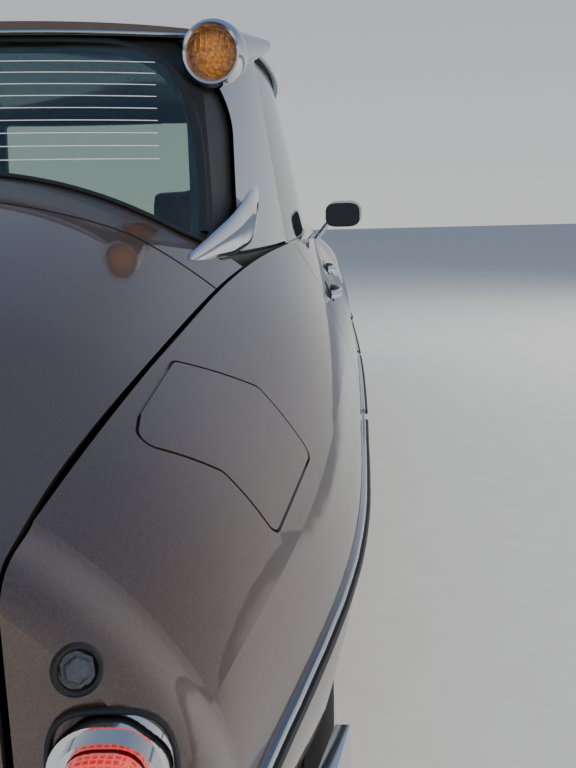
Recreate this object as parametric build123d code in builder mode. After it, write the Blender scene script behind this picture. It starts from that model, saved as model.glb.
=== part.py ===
from build123d import *

import os
from collections import namedtuple
from math import sqrt

# A four-door fastback saloon with a long bonnet, a tapering tail and half-covered rear wheels.
# Millimetres. +X is forward, +Y is the car's left side, +Z is up. The origin is on the ground,
# under the middle of the overall length and width.

os.makedirs("parts", exist_ok=True)

# Overall layout
overall_length = 4874
wheelbase = 3125
front_overhang = 850
front_track = 1500
rear_track = 1300
front_axle = overall_length / 2 - front_overhang
rear_axle = front_axle - wheelbase
nose_x = overall_length / 2
tail_x = -overall_length / 2

# Wheels
tyre_radius = 330
front_tyre_width = 180
rear_tyre_width = 155
tyre_wall = 12
rim_radius = 192
hub_bore_radius = 28
running_gap = 0.08

# Body walls and gaps
wing_wall = 14
door_wall = 70
deck_wall = 18
seam_gap = 6
seam_lap = 20
shut_gap = 6
seat_gap = 0.3
belt_z = 940
door_bottom_z = 236
door_lip = seam_lap
rail_z = 1392

# Glass, pillars and roof
pillar_face = 14
pillar_depth = 31
glass_wall = 5
door_glass_inset = 3
fixed_glass_inset = 8
glass_top_z = 1381
roof_wall = 26
roof_overlap = 10

# Door layout, along X
door_front_x = front_axle - 662
post_x = 0
door_rear_x = rear_axle + 645
post_glass_x = post_x + 18
post_width = 60
hinge_depth = 16
hinge_lug_radius = 8
hinge_pin_radius = 4
hinge_slot_gap = 1
hinge_lug_height = 24
hinge_heights = (400, 500)
front_hinge_x = door_front_x - hinge_depth
front_hinge_y = 894.5 - hinge_depth
rear_hinge_x = post_x - shut_gap / 2 - hinge_depth
rear_hinge_y = 875.5 - hinge_depth
cutter_y = 1000

# The side of the car at each station, as three tangent arcs: a lower side, a flank and a crown.
# round_off shrinks the whole section inward, to round the tail end. end is how much of an
# inner block's inset also moves the station along X: 1 at the nose, up to -1 at the tail.
SideRow = namedtuple(
    "SideRow", "x seam_y seam_z shoulder_y shoulder_z side_y side_z bottom_z round_off end"
)
SIDE_ROWS = [
    SideRow(front_axle + 808, 430, 565, 575, 520, 600, 470, 400, 0, 1),
    SideRow(front_axle + 773, 437, 620, 672, 545, 700, 480, 350, 0, 0),
    SideRow(front_axle + 703, 448, 683, 752, 585, 782, 500, 310, 0, 0),
    SideRow(front_axle + 563, 475, 757, 818, 640, 848, 530, 265, 0, 0),
    SideRow(front_axle + 313, 515, 825, 856, 690, 888, 565, 225, 0, 0),
    SideRow(front_axle, 560, 875, 866, 735, 898, 590, 210, 0, 0),
    SideRow(front_axle - 337, 612, 918, 856, 740, 898, 560, 200, 0, 0),
    SideRow(front_axle - 647, 668, 946, 838, 725, 895, 490, 200, 0, 0),
    SideRow(front_axle - 1287, 722, 946, 818, 712, 884, 465, 200, 0, 0),
    SideRow(rear_axle + 1038, 704, 946, 806, 708, 856, 465, 200, 0, 0),
    SideRow(rear_axle + 638, 667, 944, 792, 702, 834, 475, 200, 0, 0),
    SideRow(rear_axle + 288, 604, 928, 772, 698, 812, 485, 205, 0, 0),
    SideRow(rear_axle, 556, 898, 748, 678, 792, 488, 230, 0, 0),
    SideRow(rear_axle - 412, 500, 838, 690, 630, 726, 480, 290, 0, 0),
    SideRow(rear_axle - 752, 450, 765, 604, 588, 630, 478, 350, 0, 0),
]
TAIL_ROWS = [
    SIDE_ROWS[-1],
    SIDE_ROWS[-1]._replace(x=rear_axle - 807, round_off=6, end=-0.2),
    SIDE_ROWS[-1]._replace(x=rear_axle - 840, round_off=16, end=-0.5),
    SIDE_ROWS[-1]._replace(x=rear_axle - 854, round_off=32, end=-1),
]
sill_tuck = 45
open_below = 90

# The glasshouse at three heights, as plan outlines: screen centre, front pillar, middle of the
# side, rear pillar's front edge, a point along it, rear corner, and rear window centre.
UpperRow = namedtuple("UpperRow", "z screen_x a_x a_y mid_x mid_y c_x c_y q_x q_y r_x r_y back_x")
UPPER_ROWS = [
    UpperRow(
        925, front_axle - 427, front_axle - 652, 655, 50, 708,
        rear_axle + 668, 655, rear_axle + 388, 612, rear_axle + 138, 545, rear_axle - 97,
    ),
    UpperRow(
        1150, front_axle - 659, front_axle - 828, 612, 24, 662,
        rear_axle + 745, 620, rear_axle + 529, 580, rear_axle + 338, 518, rear_axle + 175,
    ),
    UpperRow(
        rail_z, front_axle - 897, front_axle - 997, 552, 0, 606,
        rear_axle + 815, 580, rear_axle + 690, 545, rear_axle + 560, 480, rear_axle + 450,
    ),
]

# Bonnet and boot lid at each station: the edge beside the wing, and the height of the centre line.
# Each closes in a bowed end, given by its X beside the wing and in the middle.
DeckRow = namedtuple("DeckRow", "x edge_y edge_z mid_z")
BONNET_ROWS = [
    DeckRow(front_axle - 647, 662, 944, 1004),
    DeckRow(front_axle - 337, 606, 916, 968),
    DeckRow(front_axle, 554, 873, 924),
    DeckRow(front_axle + 313, 509, 823, 868),
    DeckRow(front_axle + 563, 469, 755, 796),
    DeckRow(front_axle + 703, 442, 681, 722),
    DeckRow(front_axle + 773, 431, 618, 662),
    DeckRow(front_axle + 823, 424, 545, 596),
]
BOOT_ROWS = [
    DeckRow(rear_axle + 288, 598, 926, 1010),
    DeckRow(rear_axle, 550, 897, 975),
    DeckRow(rear_axle - 412, 494, 837, 893),
    DeckRow(rear_axle - 662, 456, 787, 823),
    DeckRow(rear_axle - 812, 444, 752, 778),
    DeckRow(rear_axle - 902, 442, 725, 748),
]
DeckEnd = namedtuple("DeckEnd", "edge_x mid_x facing low_z round_edge")
bonnet_end = DeckEnd(front_axle + 802, front_axle + 831, 1, 552, 0)
boot_end = DeckEnd(rear_axle - 858, rear_axle - 882, -1, 480, 45)


def side_points(row, inset):
    """Corners of a side section moved inward by inset: bottom, widest, shoulder and seam."""
    depth = row.round_off + inset * (1 - abs(min(0, row.end)))
    bulge = (row.side_y - row.shoulder_y, row.shoulder_z - row.side_z)
    flank = (bulge[0] ** 2 + bulge[1] ** 2) / (2 * bulge[0])
    inward = ((row.side_y - flank - row.shoulder_y) / flank, (row.side_z - row.shoulder_z) / flank)
    rise = (row.seam_y - row.shoulder_y, row.seam_z - row.shoulder_z)
    crown = (rise[0] ** 2 + rise[1] ** 2) / (2 * (rise[0] * inward[0] + rise[1] * inward[1]))
    centre = (row.shoulder_y + crown * inward[0], row.shoulder_z + crown * inward[1])
    seam_in = ((centre[0] - row.seam_y) / crown, (centre[1] - row.seam_z) / crown)
    low_z = row.bottom_z + depth
    tuck = (sill_tuck**2 + (row.side_z - row.bottom_z) ** 2) / (2 * sill_tuck)
    low_y = row.side_y - tuck + sqrt((tuck - depth) ** 2 - (low_z - row.side_z) ** 2)
    return (
        row.x - inset * row.end,
        (low_y, low_z),
        (row.side_y - depth, row.side_z),
        (row.shoulder_y + depth * inward[0], row.shoulder_z + depth * inward[1]),
        (row.seam_y + depth * seam_in[0], row.seam_z + depth * seam_in[1]),
    )


def side_loft(rows, inset, reach):
    """One smooth run of side sections, each from the sill over the shoulder to the seam."""
    with BuildPart() as run:
        for row in rows:
            x, low, wide, shoulder, seam = side_points(row, inset)
            with BuildSketch(Plane.YZ.offset(x)):
                with BuildLine():
                    TangentArc(wide, low, tangent=(0, -1))
                    flank = TangentArc(wide, shoulder, tangent=(0, 1))
                    TangentArc(shoulder, seam, tangent=flank % 1)
                    corner = (seam[0] - reach, seam[1])
                    under = low[1] - (open_below if reach > seam_lap else 0)
                    if reach:
                        Line(seam, corner)
                    Line(corner, (corner[0], under))
                    Line((corner[0], under), (low[0], under))
                    if reach > seam_lap:
                        Line((low[0], under), low)
                make_face()
        loft()
    return run.part


def side_block(inset, reach=0):
    """The car's left side as one block whose outer skin lies inset inside the real surface.
    It ends at the seam, or reach further in."""
    with BuildPart() as block:
        add(side_loft(SIDE_ROWS, inset, reach))
        add(side_loft(TAIL_ROWS, inset, reach))
    return block.part


def circle_through(a, b, c):
    """Centre and radius of the circle through three points."""
    d = 2 * (a[0] * (b[1] - c[1]) + b[0] * (c[1] - a[1]) + c[0] * (a[1] - b[1]))
    sa, sb, sc = (p[0] ** 2 + p[1] ** 2 for p in (a, b, c))
    x = (sa * (b[1] - c[1]) + sb * (c[1] - a[1]) + sc * (a[1] - b[1])) / d
    y = (sa * (c[0] - b[0]) + sb * (a[0] - c[0]) + sc * (b[0] - a[0])) / d
    return x, y, sqrt((a[0] - x) ** 2 + (a[1] - y) ** 2)


def circles_meet(one, two, near):
    """Where two circles cross, at the crossing nearest to a point."""
    dx, dy = two[0] - one[0], two[1] - one[1]
    apart = sqrt(dx**2 + dy**2)
    along = (apart**2 + one[2] ** 2 - two[2] ** 2) / (2 * apart)
    across = sqrt(max(0, one[2] ** 2 - along**2))
    found = [
        (
            one[0] + (along * dx - side * across * dy) / apart,
            one[1] + (along * dy + side * across * dx) / apart,
        )
        for side in (1, -1)
    ]
    return min(found, key=lambda p: (p[0] - near[0]) ** 2 + (p[1] - near[1]) ** 2)


def upper_outline(row, inset):
    """Corners and arc midpoints of a glasshouse outline moved inward by inset."""
    front = (row.a_x, row.a_y)
    pillar = (row.c_x, row.c_y)
    rear = (row.r_x, row.r_y)
    arcs = [
        circle_through((row.a_x, -row.a_y), (row.screen_x, 0), front),
        circle_through(front, (row.mid_x, row.mid_y), pillar),
        circle_through(pillar, (row.q_x, row.q_y), rear),
        circle_through(rear, (row.back_x, 0), (row.r_x, -row.r_y)),
    ]
    moved = [(x, y, r - inset) for x, y, r in arcs]
    corners = [
        circles_meet(moved[0], moved[1], front),
        circles_meet(moved[1], moved[2], pillar),
        circles_meet(moved[2], moved[3], rear),
    ]
    middles = []
    for circle, point in zip(moved[1:3], ((row.mid_x, row.mid_y), (row.q_x, row.q_y))):
        away = (point[0] - circle[0], point[1] - circle[1])
        reach = circle[2] / sqrt(away[0] ** 2 + away[1] ** 2)
        middles.append((circle[0] + away[0] * reach, circle[1] + away[1] * reach))
    return corners, middles, row.screen_x - inset, row.back_x + inset


def outline_wire(row, inset):
    """Draws a glasshouse outline in the open line builder."""
    (a, c, r), (m, q), front_x, back_x = upper_outline(row, inset)
    ThreePointArc((a[0], -a[1]), (front_x, 0), a)
    ThreePointArc(a, m, c)
    ThreePointArc(c, q, r)
    ThreePointArc(r, (back_x, 0), (r[0], -r[1]))
    ThreePointArc((r[0], -r[1]), (q[0], -q[1]), (c[0], -c[1]))
    ThreePointArc((c[0], -c[1]), (m[0], -m[1]), (a[0], -a[1]))


def upper_block(inset):
    """The glasshouse as one block whose surface lies inset inside the real one."""
    with BuildPart() as block:
        for row in UPPER_ROWS:
            with BuildSketch(Plane.XY.offset(row.z)):
                with BuildLine():
                    outline_wire(row, inset)
                make_face()
        loft()
    return block.part


def deck_block(rows, end, inset, spread, low_z):
    """A bonnet or boot as a block: arched sections, closed by a bowed end."""
    bow = abs(end.mid_x - end.edge_x)
    bend = (rows[-1].edge_y ** 2 + bow**2) / (2 * bow)
    side_y = 800
    mid_x = end.mid_x - end.facing * inset
    side_x = mid_x - end.facing * (bend - sqrt(bend**2 - side_y**2))
    with BuildPart() as block:
        for row in rows:
            rise = row.mid_z - row.edge_z
            arch = (row.edge_y**2 + rise**2) / (2 * rise)
            half = row.edge_y + spread
            edge_z = row.mid_z - arch + sqrt((arch - inset) ** 2 - half**2)
            with BuildSketch(Plane.YZ.offset(row.x)):
                with BuildLine():
                    ThreePointArc((-half, edge_z), (0, row.mid_z - inset), (half, edge_z))
                    Polyline((half, edge_z), (half, low_z), (-half, low_z), (-half, edge_z))
                make_face()
        loft()
        with BuildSketch(Plane.XY.offset(low_z - 10)):
            with BuildLine():
                ThreePointArc((side_x, -side_y), (mid_x, 0), (side_x, side_y))
                Polyline((side_x, side_y), (0, side_y), (0, -side_y), (side_x, -side_y))
            make_face()
        extrude(amount=900, mode=Mode.INTERSECT)
        if end.round_edge:
            tip = block.edges().filter_by_position(Axis.X, mid_x - 1, side_x + 2)
            fillet(tip.sort_by(Axis.Z)[-1], end.round_edge - inset)
    return block.part


def seam_plan(gap, low_z=300):
    """The area between the wings' seams, drawn in by gap, as a tall prism."""
    seam = [(row.x, row.seam_y - gap) for row in SIDE_ROWS]
    nose = (seam[0][0] + 60, seam[0][1])
    tail = (seam[-1][0] - 200, seam[-1][1])
    with BuildPart() as prism:
        with BuildSketch(Plane.XY.offset(low_z)):
            with BuildLine():
                for side in (1, -1):
                    Spline(*[(x, side * y) for x, y in seam])
                    Line((nose[0], side * nose[1]), (seam[0][0], side * seam[0][1]))
                    Line((tail[0], side * tail[1]), (seam[-1][0], side * seam[-1][1]))
                Line(nose, (nose[0], -nose[1]))
                Line(tail, (tail[0], -tail[1]))
            make_face()
        extrude(amount=800)
    return prism.part


def deck_panel(rows, end):
    """A bonnet or boot lid: the block's skin, trimmed to the seams with an even gap."""
    with BuildPart() as panel:
        add(deck_block(rows, end, 0, seam_lap, 420))
        add(deck_block(rows, end, deck_wall, seam_lap + 30, 390), mode=Mode.SUBTRACT)
        add(seam_plan(seam_gap, end.low_z), mode=Mode.INTERSECT)
    return panel.part


def slab(x_from, x_to, y_from, y_to, z_from, z_to):
    """A plain box given by its limits."""
    with BuildPart() as box:
        with BuildSketch(Plane.XY.offset(z_from)):
            with Locations((x_from, y_from)):
                Rectangle(x_to - x_from, y_to - y_from, align=(Align.MIN, Align.MIN))
        extrude(amount=z_to - z_from)
    return box.part


def write(name, part):
    part.label = name
    export_step(part, f"parts/{name}.step")


def mirrored(part):
    """The same piece for the car's right side."""
    with BuildPart() as other:
        add(mirror(part, about=Plane.XZ, mode=Mode.PRIVATE))
    return other.part


# Surfaces that the panels are cut from
side_outer = side_block(0, seam_lap)
side_core = side_block(wing_wall, 300)
door_rows = [row for row in SIDE_ROWS if rear_axle <= row.x < front_axle]
door_outer = side_loft(door_rows, 0, door_lip)
door_core = side_loft(door_rows, door_wall, 300)

with BuildPart() as wing_skin:
    add(side_outer)
    add(side_core, mode=Mode.SUBTRACT)
    add(seam_plan(0), mode=Mode.SUBTRACT)

# Front wing: from the lamp to the door, with a round arch over the steered wheel
front_arch_radius = 378
lamp_plate_x = front_axle + 473
lamp_window = [(478, 588), (492, 690), (610, 740), (735, 728), (792, 650), (765, 578), (620, 566)]
lamp_window_round = 28


def lamp_opening(grow, length):
    """The lamp window as a prism along X, from the lamp plate forward."""
    with BuildPart() as prism:
        with BuildSketch(Plane.YZ.offset(lamp_plate_x)):
            with BuildLine() as edge:
                Polyline(*lamp_window, close=True)
                fillet(edge.vertices(), lamp_window_round)
            make_face()
            if grow:
                offset(amount=grow)
        extrude(amount=length)
    return prism.part


with BuildPart() as front_wing:
    add(wing_skin.part)
    with BuildSketch(Plane.XY):
        with Locations((front_hinge_x, front_hinge_y)):
            Rectangle(hinge_depth + shut_gap, 100, align=(Align.MIN, Align.MIN))
            Circle(hinge_depth + shut_gap, mode=Mode.SUBTRACT)
        with Locations((door_front_x + shut_gap, 0)):
            Rectangle(nose_x, 1200, align=(Align.MIN, Align.MIN))
    extrude(amount=1200, mode=Mode.INTERSECT)
    with BuildSketch(Plane.XZ.offset(-cutter_y)):
        with Locations((front_axle, tyre_radius)):
            Circle(front_arch_radius)
        with Locations((front_axle, tyre_radius - front_arch_radius)):
            Rectangle(2 * front_arch_radius - 20, 2 * front_arch_radius - 20)
    extrude(amount=1200, mode=Mode.SUBTRACT)
    add(lamp_opening(0, 700), mode=Mode.SUBTRACT)
write("front_wing_left", front_wing.part)
write("front_wing_right", mirrored(front_wing.part))

# Rear wing: closed tail, and a low flat arch that hides the top half of the wheel
rear_arch_half = 385
rear_arch_side_z = 400
rear_arch_top = 485

with BuildPart() as rear_wing:
    add(wing_skin.part)
    with BuildSketch(Plane.XZ.offset(-cutter_y)):
        with Locations((door_rear_x + 60, 0)):
            Rectangle(-tail_x, 1200, align=(Align.MAX, Align.MIN))
    extrude(amount=1200, mode=Mode.INTERSECT)
    with BuildSketch(Plane.XY):
        with Locations((rear_hinge_x, rear_hinge_y)):
            Circle(rear_hinge_x - door_rear_x + shut_gap)
    extrude(amount=1200, mode=Mode.SUBTRACT)
    with BuildSketch(Plane.XZ.offset(-cutter_y)):
        with BuildLine() as arch:
            side_top = (rear_arch_half, rear_arch_side_z)
            ThreePointArc(
                (rear_axle - side_top[0], side_top[1]),
                (rear_axle, rear_arch_top),
                (rear_axle + side_top[0], side_top[1]),
            )
            Polyline(
                (rear_axle + side_top[0], side_top[1]), (rear_axle + side_top[0] + 20, 150),
                (rear_axle - side_top[0] - 20, 150), (rear_axle - side_top[0], side_top[1]),
            )
            fillet(arch.vertices().group_by(Axis.Y)[-1], 60)
        make_face()
    extrude(amount=1200, mode=Mode.SUBTRACT)

# Fuel flap: a panel let into the right rear wing, with a notch for the finger
flap_plane = Plane((rear_axle - 400, 610, 760), x_dir=(1, 0, 0), z_dir=(0, 0.7, 0.71))
flap_corners = [(44, -120), (158, -2), (146, 124), (-108, 112), (-112, 10), (-182, -92), (-118, -110)]
flap_depth = 8
flap_gap = 4
flap_notch = (35, 130, 14)


def flap_prism(shrink):
    """The flap's outline as a prism square to the wing, drawn in by shrink."""
    with BuildPart() as prism:
        with BuildSketch(flap_plane.offset(-80)):
            with BuildLine() as edge:
                Polyline(*flap_corners, close=True)
                fillet(edge.vertices(), 22)
            make_face()
            if shrink:
                offset(amount=-shrink)
                with Locations(flap_notch[:2]):
                    Circle(flap_notch[2], mode=Mode.SUBTRACT)
        extrude(amount=180)
    return prism.part


with BuildPart() as flap_recess:
    add(side_outer)
    add(side_block(flap_depth, 300), mode=Mode.SUBTRACT)
    add(flap_prism(0), mode=Mode.INTERSECT)

with BuildPart() as rear_wing_with_recess:
    add(rear_wing.part)
    add(flap_recess.part, mode=Mode.SUBTRACT)

with BuildPart() as fuel_flap:
    add(side_outer)
    add(side_block(flap_depth - seat_gap, 300), mode=Mode.SUBTRACT)
    add(flap_prism(flap_gap), mode=Mode.INTERSECT)
write("fuel_flap", mirrored(fuel_flap.part))
write("rear_wing_left", rear_wing.part)
write("rear_wing_right", mirrored(rear_wing_with_recess.part))


# Doors: cut from the thick side, each ending on the arc that it swings along
def door(front_x, rear_x, hinge_x, hinge_y, swing, ahead=None):
    with BuildPart() as panel:
        add(door_outer)
        add(door_core, mode=Mode.SUBTRACT)
        with BuildSketch(Plane.XZ.offset(-cutter_y)):
            with Locations(((front_x + rear_x) / 2, (belt_z + door_bottom_z) / 2)):
                Rectangle(front_x - rear_x, belt_z - door_bottom_z)
        extrude(amount=1200, mode=Mode.INTERSECT)
        with BuildSketch(Plane.XY):
            with Locations((hinge_x, hinge_y)):
                Circle(swing)
        extrude(amount=1200, mode=Mode.INTERSECT)
        if ahead:
            with BuildSketch(Plane.XY):
                with Locations(ahead[:2]):
                    Circle(ahead[2])
            extrude(amount=1200, mode=Mode.SUBTRACT)
        with BuildSketch(Plane.XY):
            with Locations((hinge_x, hinge_y)):
                Rectangle(60, 60, align=(Align.MIN, Align.MIN))
                Circle(hinge_depth, mode=Mode.SUBTRACT)
        extrude(amount=1200, mode=Mode.SUBTRACT)
        for z in hinge_heights:
            slot = hinge_lug_height + 2 * hinge_slot_gap
            with BuildSketch(Plane.XY.offset(z - slot / 2)):
                with Locations((hinge_x, hinge_y)):
                    Circle(hinge_lug_radius + hinge_slot_gap)
                with Locations((hinge_x - hinge_lug_radius - hinge_slot_gap, hinge_y)):
                    Rectangle(60, 250, align=(Align.MIN, Align.MAX))
                with Locations((hinge_x, hinge_y + hinge_lug_radius + hinge_slot_gap)):
                    Rectangle(60, 100, align=(Align.MIN, Align.MAX))
            extrude(amount=slot, mode=Mode.SUBTRACT)
            with BuildSketch(Plane.XY.offset(z - slot / 2 - 2)):
                with Locations((hinge_x, hinge_y)):
                    Circle(hinge_pin_radius)
            extrude(amount=slot + 4)
    return panel.part


front_swing = front_hinge_x - post_x - shut_gap / 2
rear_swing = rear_hinge_x - door_rear_x
front_door = door(door_front_x, post_x - 10, front_hinge_x, front_hinge_y, front_swing)
rear_door = door(
    post_x + 40, door_rear_x - 10, rear_hinge_x, rear_hinge_y, rear_swing,
    (front_hinge_x, front_hinge_y, front_swing + shut_gap),
)
write("front_door_left", front_door)
write("front_door_right", mirrored(front_door))
write("rear_door_left", rear_door)
write("rear_door_right", mirrored(rear_door))

# Bonnet and boot lid
bonnet_clear = 16
bonnet_rear_x = door_front_x + 81
boot_clear = 14
boot_front_x = rear_axle + 63
deck_pin_radius = 4
deck_eye_radius = 8
bonnet_pivot = (bonnet_rear_x, 588, 906)
boot_pivot = (boot_front_x + 11, 506, 896)
deck_eye_width = 12


def pivot_disc(pivot, radius, y_from, y_to):
    """A round boss along Y on a lid's hinge line."""
    with BuildPart() as disc:
        with BuildSketch(Plane.XZ.offset(-y_from)):
            with Locations((pivot[0], pivot[2])):
                Circle(radius)
        extrude(amount=y_from - y_to)
    return disc.part


def lid_hinge(pivot, x_to, z_to):
    """The lid's half of a left hinge: an eye, an arm to the panel and a pin that sticks out."""
    low, high = pivot[1] - deck_eye_width / 2, pivot[1] + deck_eye_width / 2
    with BuildPart() as half:
        add(pivot_disc(pivot, deck_eye_radius, low, high))
        add(pivot_disc(pivot, deck_pin_radius, low, high + deck_eye_width + 3))
        add(slab(min(pivot[0], x_to), max(pivot[0], x_to), low, high, pivot[2] - 4, z_to))
    return half.part


def lid_bearing(pivot, x_from, x_to, z_from, z_to):
    """The body's half of a left hinge: a bored eye on a bracket."""
    low = pivot[1] + deck_eye_width / 2 + 1
    with BuildPart() as half:
        add(pivot_disc(pivot, deck_eye_radius, low, low + deck_eye_width))
        add(slab(x_from, x_to, low, low + deck_eye_width, z_from, z_to))
        add(
            pivot_disc(pivot, deck_pin_radius + running_gap, low - 1, low + deck_eye_width + 1),
            mode=Mode.SUBTRACT,
        )
    return half.part


with BuildPart() as bonnet:
    add(deck_panel(BONNET_ROWS, bonnet_end))
    with BuildSketch(Plane.XY.offset(UPPER_ROWS[0].z - 60)):
        with BuildLine():
            outline_wire(UPPER_ROWS[0], -bonnet_clear)
        make_face()
    extrude(amount=300, mode=Mode.SUBTRACT)
    with BuildSketch(Plane.XY.offset(300)):
        with Locations((bonnet_rear_x, 0)):
            Rectangle(nose_x, 2000, align=(Align.MIN, Align.CENTER))
    extrude(amount=900, mode=Mode.INTERSECT)
    bonnet_half = lid_hinge(bonnet_pivot, bonnet_pivot[0] + 14, 940)
    add(bonnet_half)
    add(mirrored(bonnet_half))
write("bonnet", bonnet.part)

with BuildPart() as boot_lid:
    add(deck_panel(BOOT_ROWS, boot_end))
    with BuildSketch(Plane.XY.offset(UPPER_ROWS[0].z - 60)):
        with BuildLine():
            outline_wire(UPPER_ROWS[0], -boot_clear)
        make_face()
    extrude(amount=300, mode=Mode.SUBTRACT)
    with BuildSketch(Plane.XY.offset(300)):
        with Locations((boot_front_x, 0)):
            Rectangle(1500, 2000, align=(Align.MAX, Align.CENTER))
    extrude(amount=900, mode=Mode.INTERSECT)
    boot_half = lid_hinge(boot_pivot, boot_pivot[0] - 22, boot_pivot[2] + 8)
    add(boot_half)
    add(mirrored(boot_half))
write("boot_lid", boot_lid.part)

# Glasshouse: layers of one surface
upper_seat = upper_block(pillar_face)


def layer(outer, inner, low_z, high_z):
    """The glasshouse wall between two insets, from one height to another."""
    with BuildPart() as wall:
        add(upper_block(outer))
        add(upper_block(inner), mode=Mode.SUBTRACT)
        with BuildSketch(Plane.XY.offset(low_z)):
            Rectangle(6000, 3000)
        extrude(amount=high_z - low_z, mode=Mode.INTERSECT)
    return wall.part


frame_low_z = belt_z + shut_gap
a_lean = (UPPER_ROWS[0].a_x - UPPER_ROWS[2].a_x) / (rail_z - UPPER_ROWS[0].z)
c_lean = (UPPER_ROWS[2].c_x - UPPER_ROWS[0].c_x) / (rail_z - UPPER_ROWS[0].z)


def a_line(z, ahead=0):
    """X of the front edge of the front door's glass at a height."""
    return UPPER_ROWS[0].a_x - 26 - a_lean * (z - UPPER_ROWS[0].z) + ahead


def c_line(z, behind=0):
    """X of the rear edge of the rear door's glass at a height."""
    return UPPER_ROWS[0].c_x + 4 + c_lean * (z - UPPER_ROWS[0].z) - behind


# Front and rear screens as seen along X: half width at the bottom and top
Screen = namedtuple("Screen", "low_z low_half low_corner top_z top_half top_corner")
windscreen_cut = Screen(belt_z + seat_gap, 618, 40, glass_top_z, 508, 40)
rear_window_cut = Screen(belt_z + seat_gap, 512, 60, glass_top_z - 3, 466, 225)


def screen_face(screen, grow=0):
    """A screen's outline, grown by a border."""
    with BuildSketch() as face:
        with BuildLine() as edge:
            Polyline(
                (-screen.low_half - grow, screen.low_z - grow),
                (screen.low_half + grow, screen.low_z - grow),
                (screen.top_half + grow, screen.top_z + grow),
                (-screen.top_half - grow, screen.top_z + grow),
                close=True,
            )
            levels = edge.vertices().group_by(Axis.Y)
            fillet(levels[0], screen.low_corner + grow)
            levels = edge.vertices().group_by(Axis.Y)
            fillet(levels[-1], screen.top_corner + grow)
        make_face()
    return face.sketch


with BuildPart() as windscreen:
    add(layer(fixed_glass_inset, pillar_face - seat_gap, belt_z + seat_gap, glass_top_z))
    with BuildSketch(Plane.YZ.offset(front_axle - 1100)):
        add(screen_face(windscreen_cut))
    extrude(amount=1000, mode=Mode.INTERSECT)
write("windscreen", windscreen.part)

with BuildPart() as rear_window:
    add(layer(fixed_glass_inset, pillar_face - seat_gap, belt_z + seat_gap, glass_top_z))
    with BuildSketch(Plane.YZ.offset(tail_x)):
        add(screen_face(rear_window_cut))
    extrude(amount=1600, mode=Mode.INTERSECT)
write("rear_window", rear_window.part)

with BuildPart() as door_glass_wall:
    add(
        layer(
            door_glass_inset, door_glass_inset + glass_wall, belt_z + seat_gap, glass_top_z
        )
    )
front_glass_rear_x = post_glass_x + shut_gap
rear_glass_front_x = post_glass_x - shut_gap
with BuildPart() as front_glass:
    add(door_glass_wall.part)
    with BuildSketch(Plane.XZ.offset(-1000)):
        with BuildLine():
            Polyline(
                (a_line(belt_z), belt_z),
                (a_line(rail_z), rail_z),
                (front_glass_rear_x, rail_z),
                (front_glass_rear_x, belt_z),
                close=True,
            )
        make_face()
    extrude(amount=1000, mode=Mode.INTERSECT)
write("front_glass_left", front_glass.part)
write("front_glass_right", mirrored(front_glass.part))

with BuildPart() as rear_glass:
    add(door_glass_wall.part)
    with BuildSketch(Plane.XZ.offset(-1000)):
        with BuildLine():
            Polyline(
                (rear_glass_front_x, belt_z),
                (rear_glass_front_x, rail_z),
                (c_line(rail_z), rail_z),
                (c_line(belt_z), belt_z),
                close=True,
            )
        make_face()
    extrude(amount=1000, mode=Mode.INTERSECT)
write("rear_glass_left", rear_glass.part)
write("rear_glass_right", mirrored(rear_glass.part))

# Pillar frame: the load-carrying ring behind the glass
frame_edge = 22
with BuildPart() as pillar_frame:
    add(layer(pillar_face, pillar_face + pillar_depth, frame_low_z, rail_z))
    with BuildSketch(Plane.YZ.offset(front_axle - 1100)):
        add(screen_face(windscreen_cut, -frame_edge))
        with Locations((0, belt_z)):
            Rectangle(2 * windscreen_cut.low_half - 2 * frame_edge, 120)
    extrude(amount=1000, mode=Mode.SUBTRACT)
    with BuildSketch(Plane.YZ.offset(tail_x)):
        add(screen_face(rear_window_cut, -frame_edge))
    extrude(amount=1600, mode=Mode.SUBTRACT)
    with BuildSketch(Plane.XZ.offset(-1000)):
        with BuildLine():
            Polyline(
                (a_line(frame_low_z - 30) - frame_edge, frame_low_z - 30),
                (a_line(glass_top_z - frame_edge) - frame_edge, glass_top_z - frame_edge),
                (post_glass_x + post_width / 2, glass_top_z - frame_edge),
                (post_glass_x + post_width / 2, frame_low_z - 30),
                close=True,
            )
        make_face()
        with BuildLine():
            Polyline(
                (c_line(frame_low_z - 30) + frame_edge, frame_low_z - 30),
                (c_line(glass_top_z - frame_edge) + frame_edge, glass_top_z - frame_edge),
                (post_glass_x - post_width / 2, glass_top_z - frame_edge),
                (post_glass_x - post_width / 2, frame_low_z - 30),
                close=True,
            )
        make_face()
    extrude(amount=2000, mode=Mode.SUBTRACT)
write("pillar_frame", pillar_frame.part)

# Bright covers over the rear pillars, and the strips over the front ones
with BuildPart() as pillar_cover:
    add(layer(0, pillar_face - seat_gap, frame_low_z, glass_top_z + 8))
    with BuildSketch(Plane.XZ.offset(-1000)):
        with BuildLine():
            Polyline(
                (c_line(belt_z, shut_gap + 2), belt_z),
                (c_line(rail_z, shut_gap + 2), rail_z),
                (rear_axle - 200, rail_z),
                (rear_axle - 200, belt_z),
                close=True,
            )
        make_face()
    extrude(amount=1000, mode=Mode.INTERSECT)
    with BuildSketch(Plane.YZ.offset(tail_x)):
        add(screen_face(rear_window_cut, 62))
    extrude(amount=1600, mode=Mode.SUBTRACT)
write("pillar_covers", pillar_cover.part + mirrored(pillar_cover.part))

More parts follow.
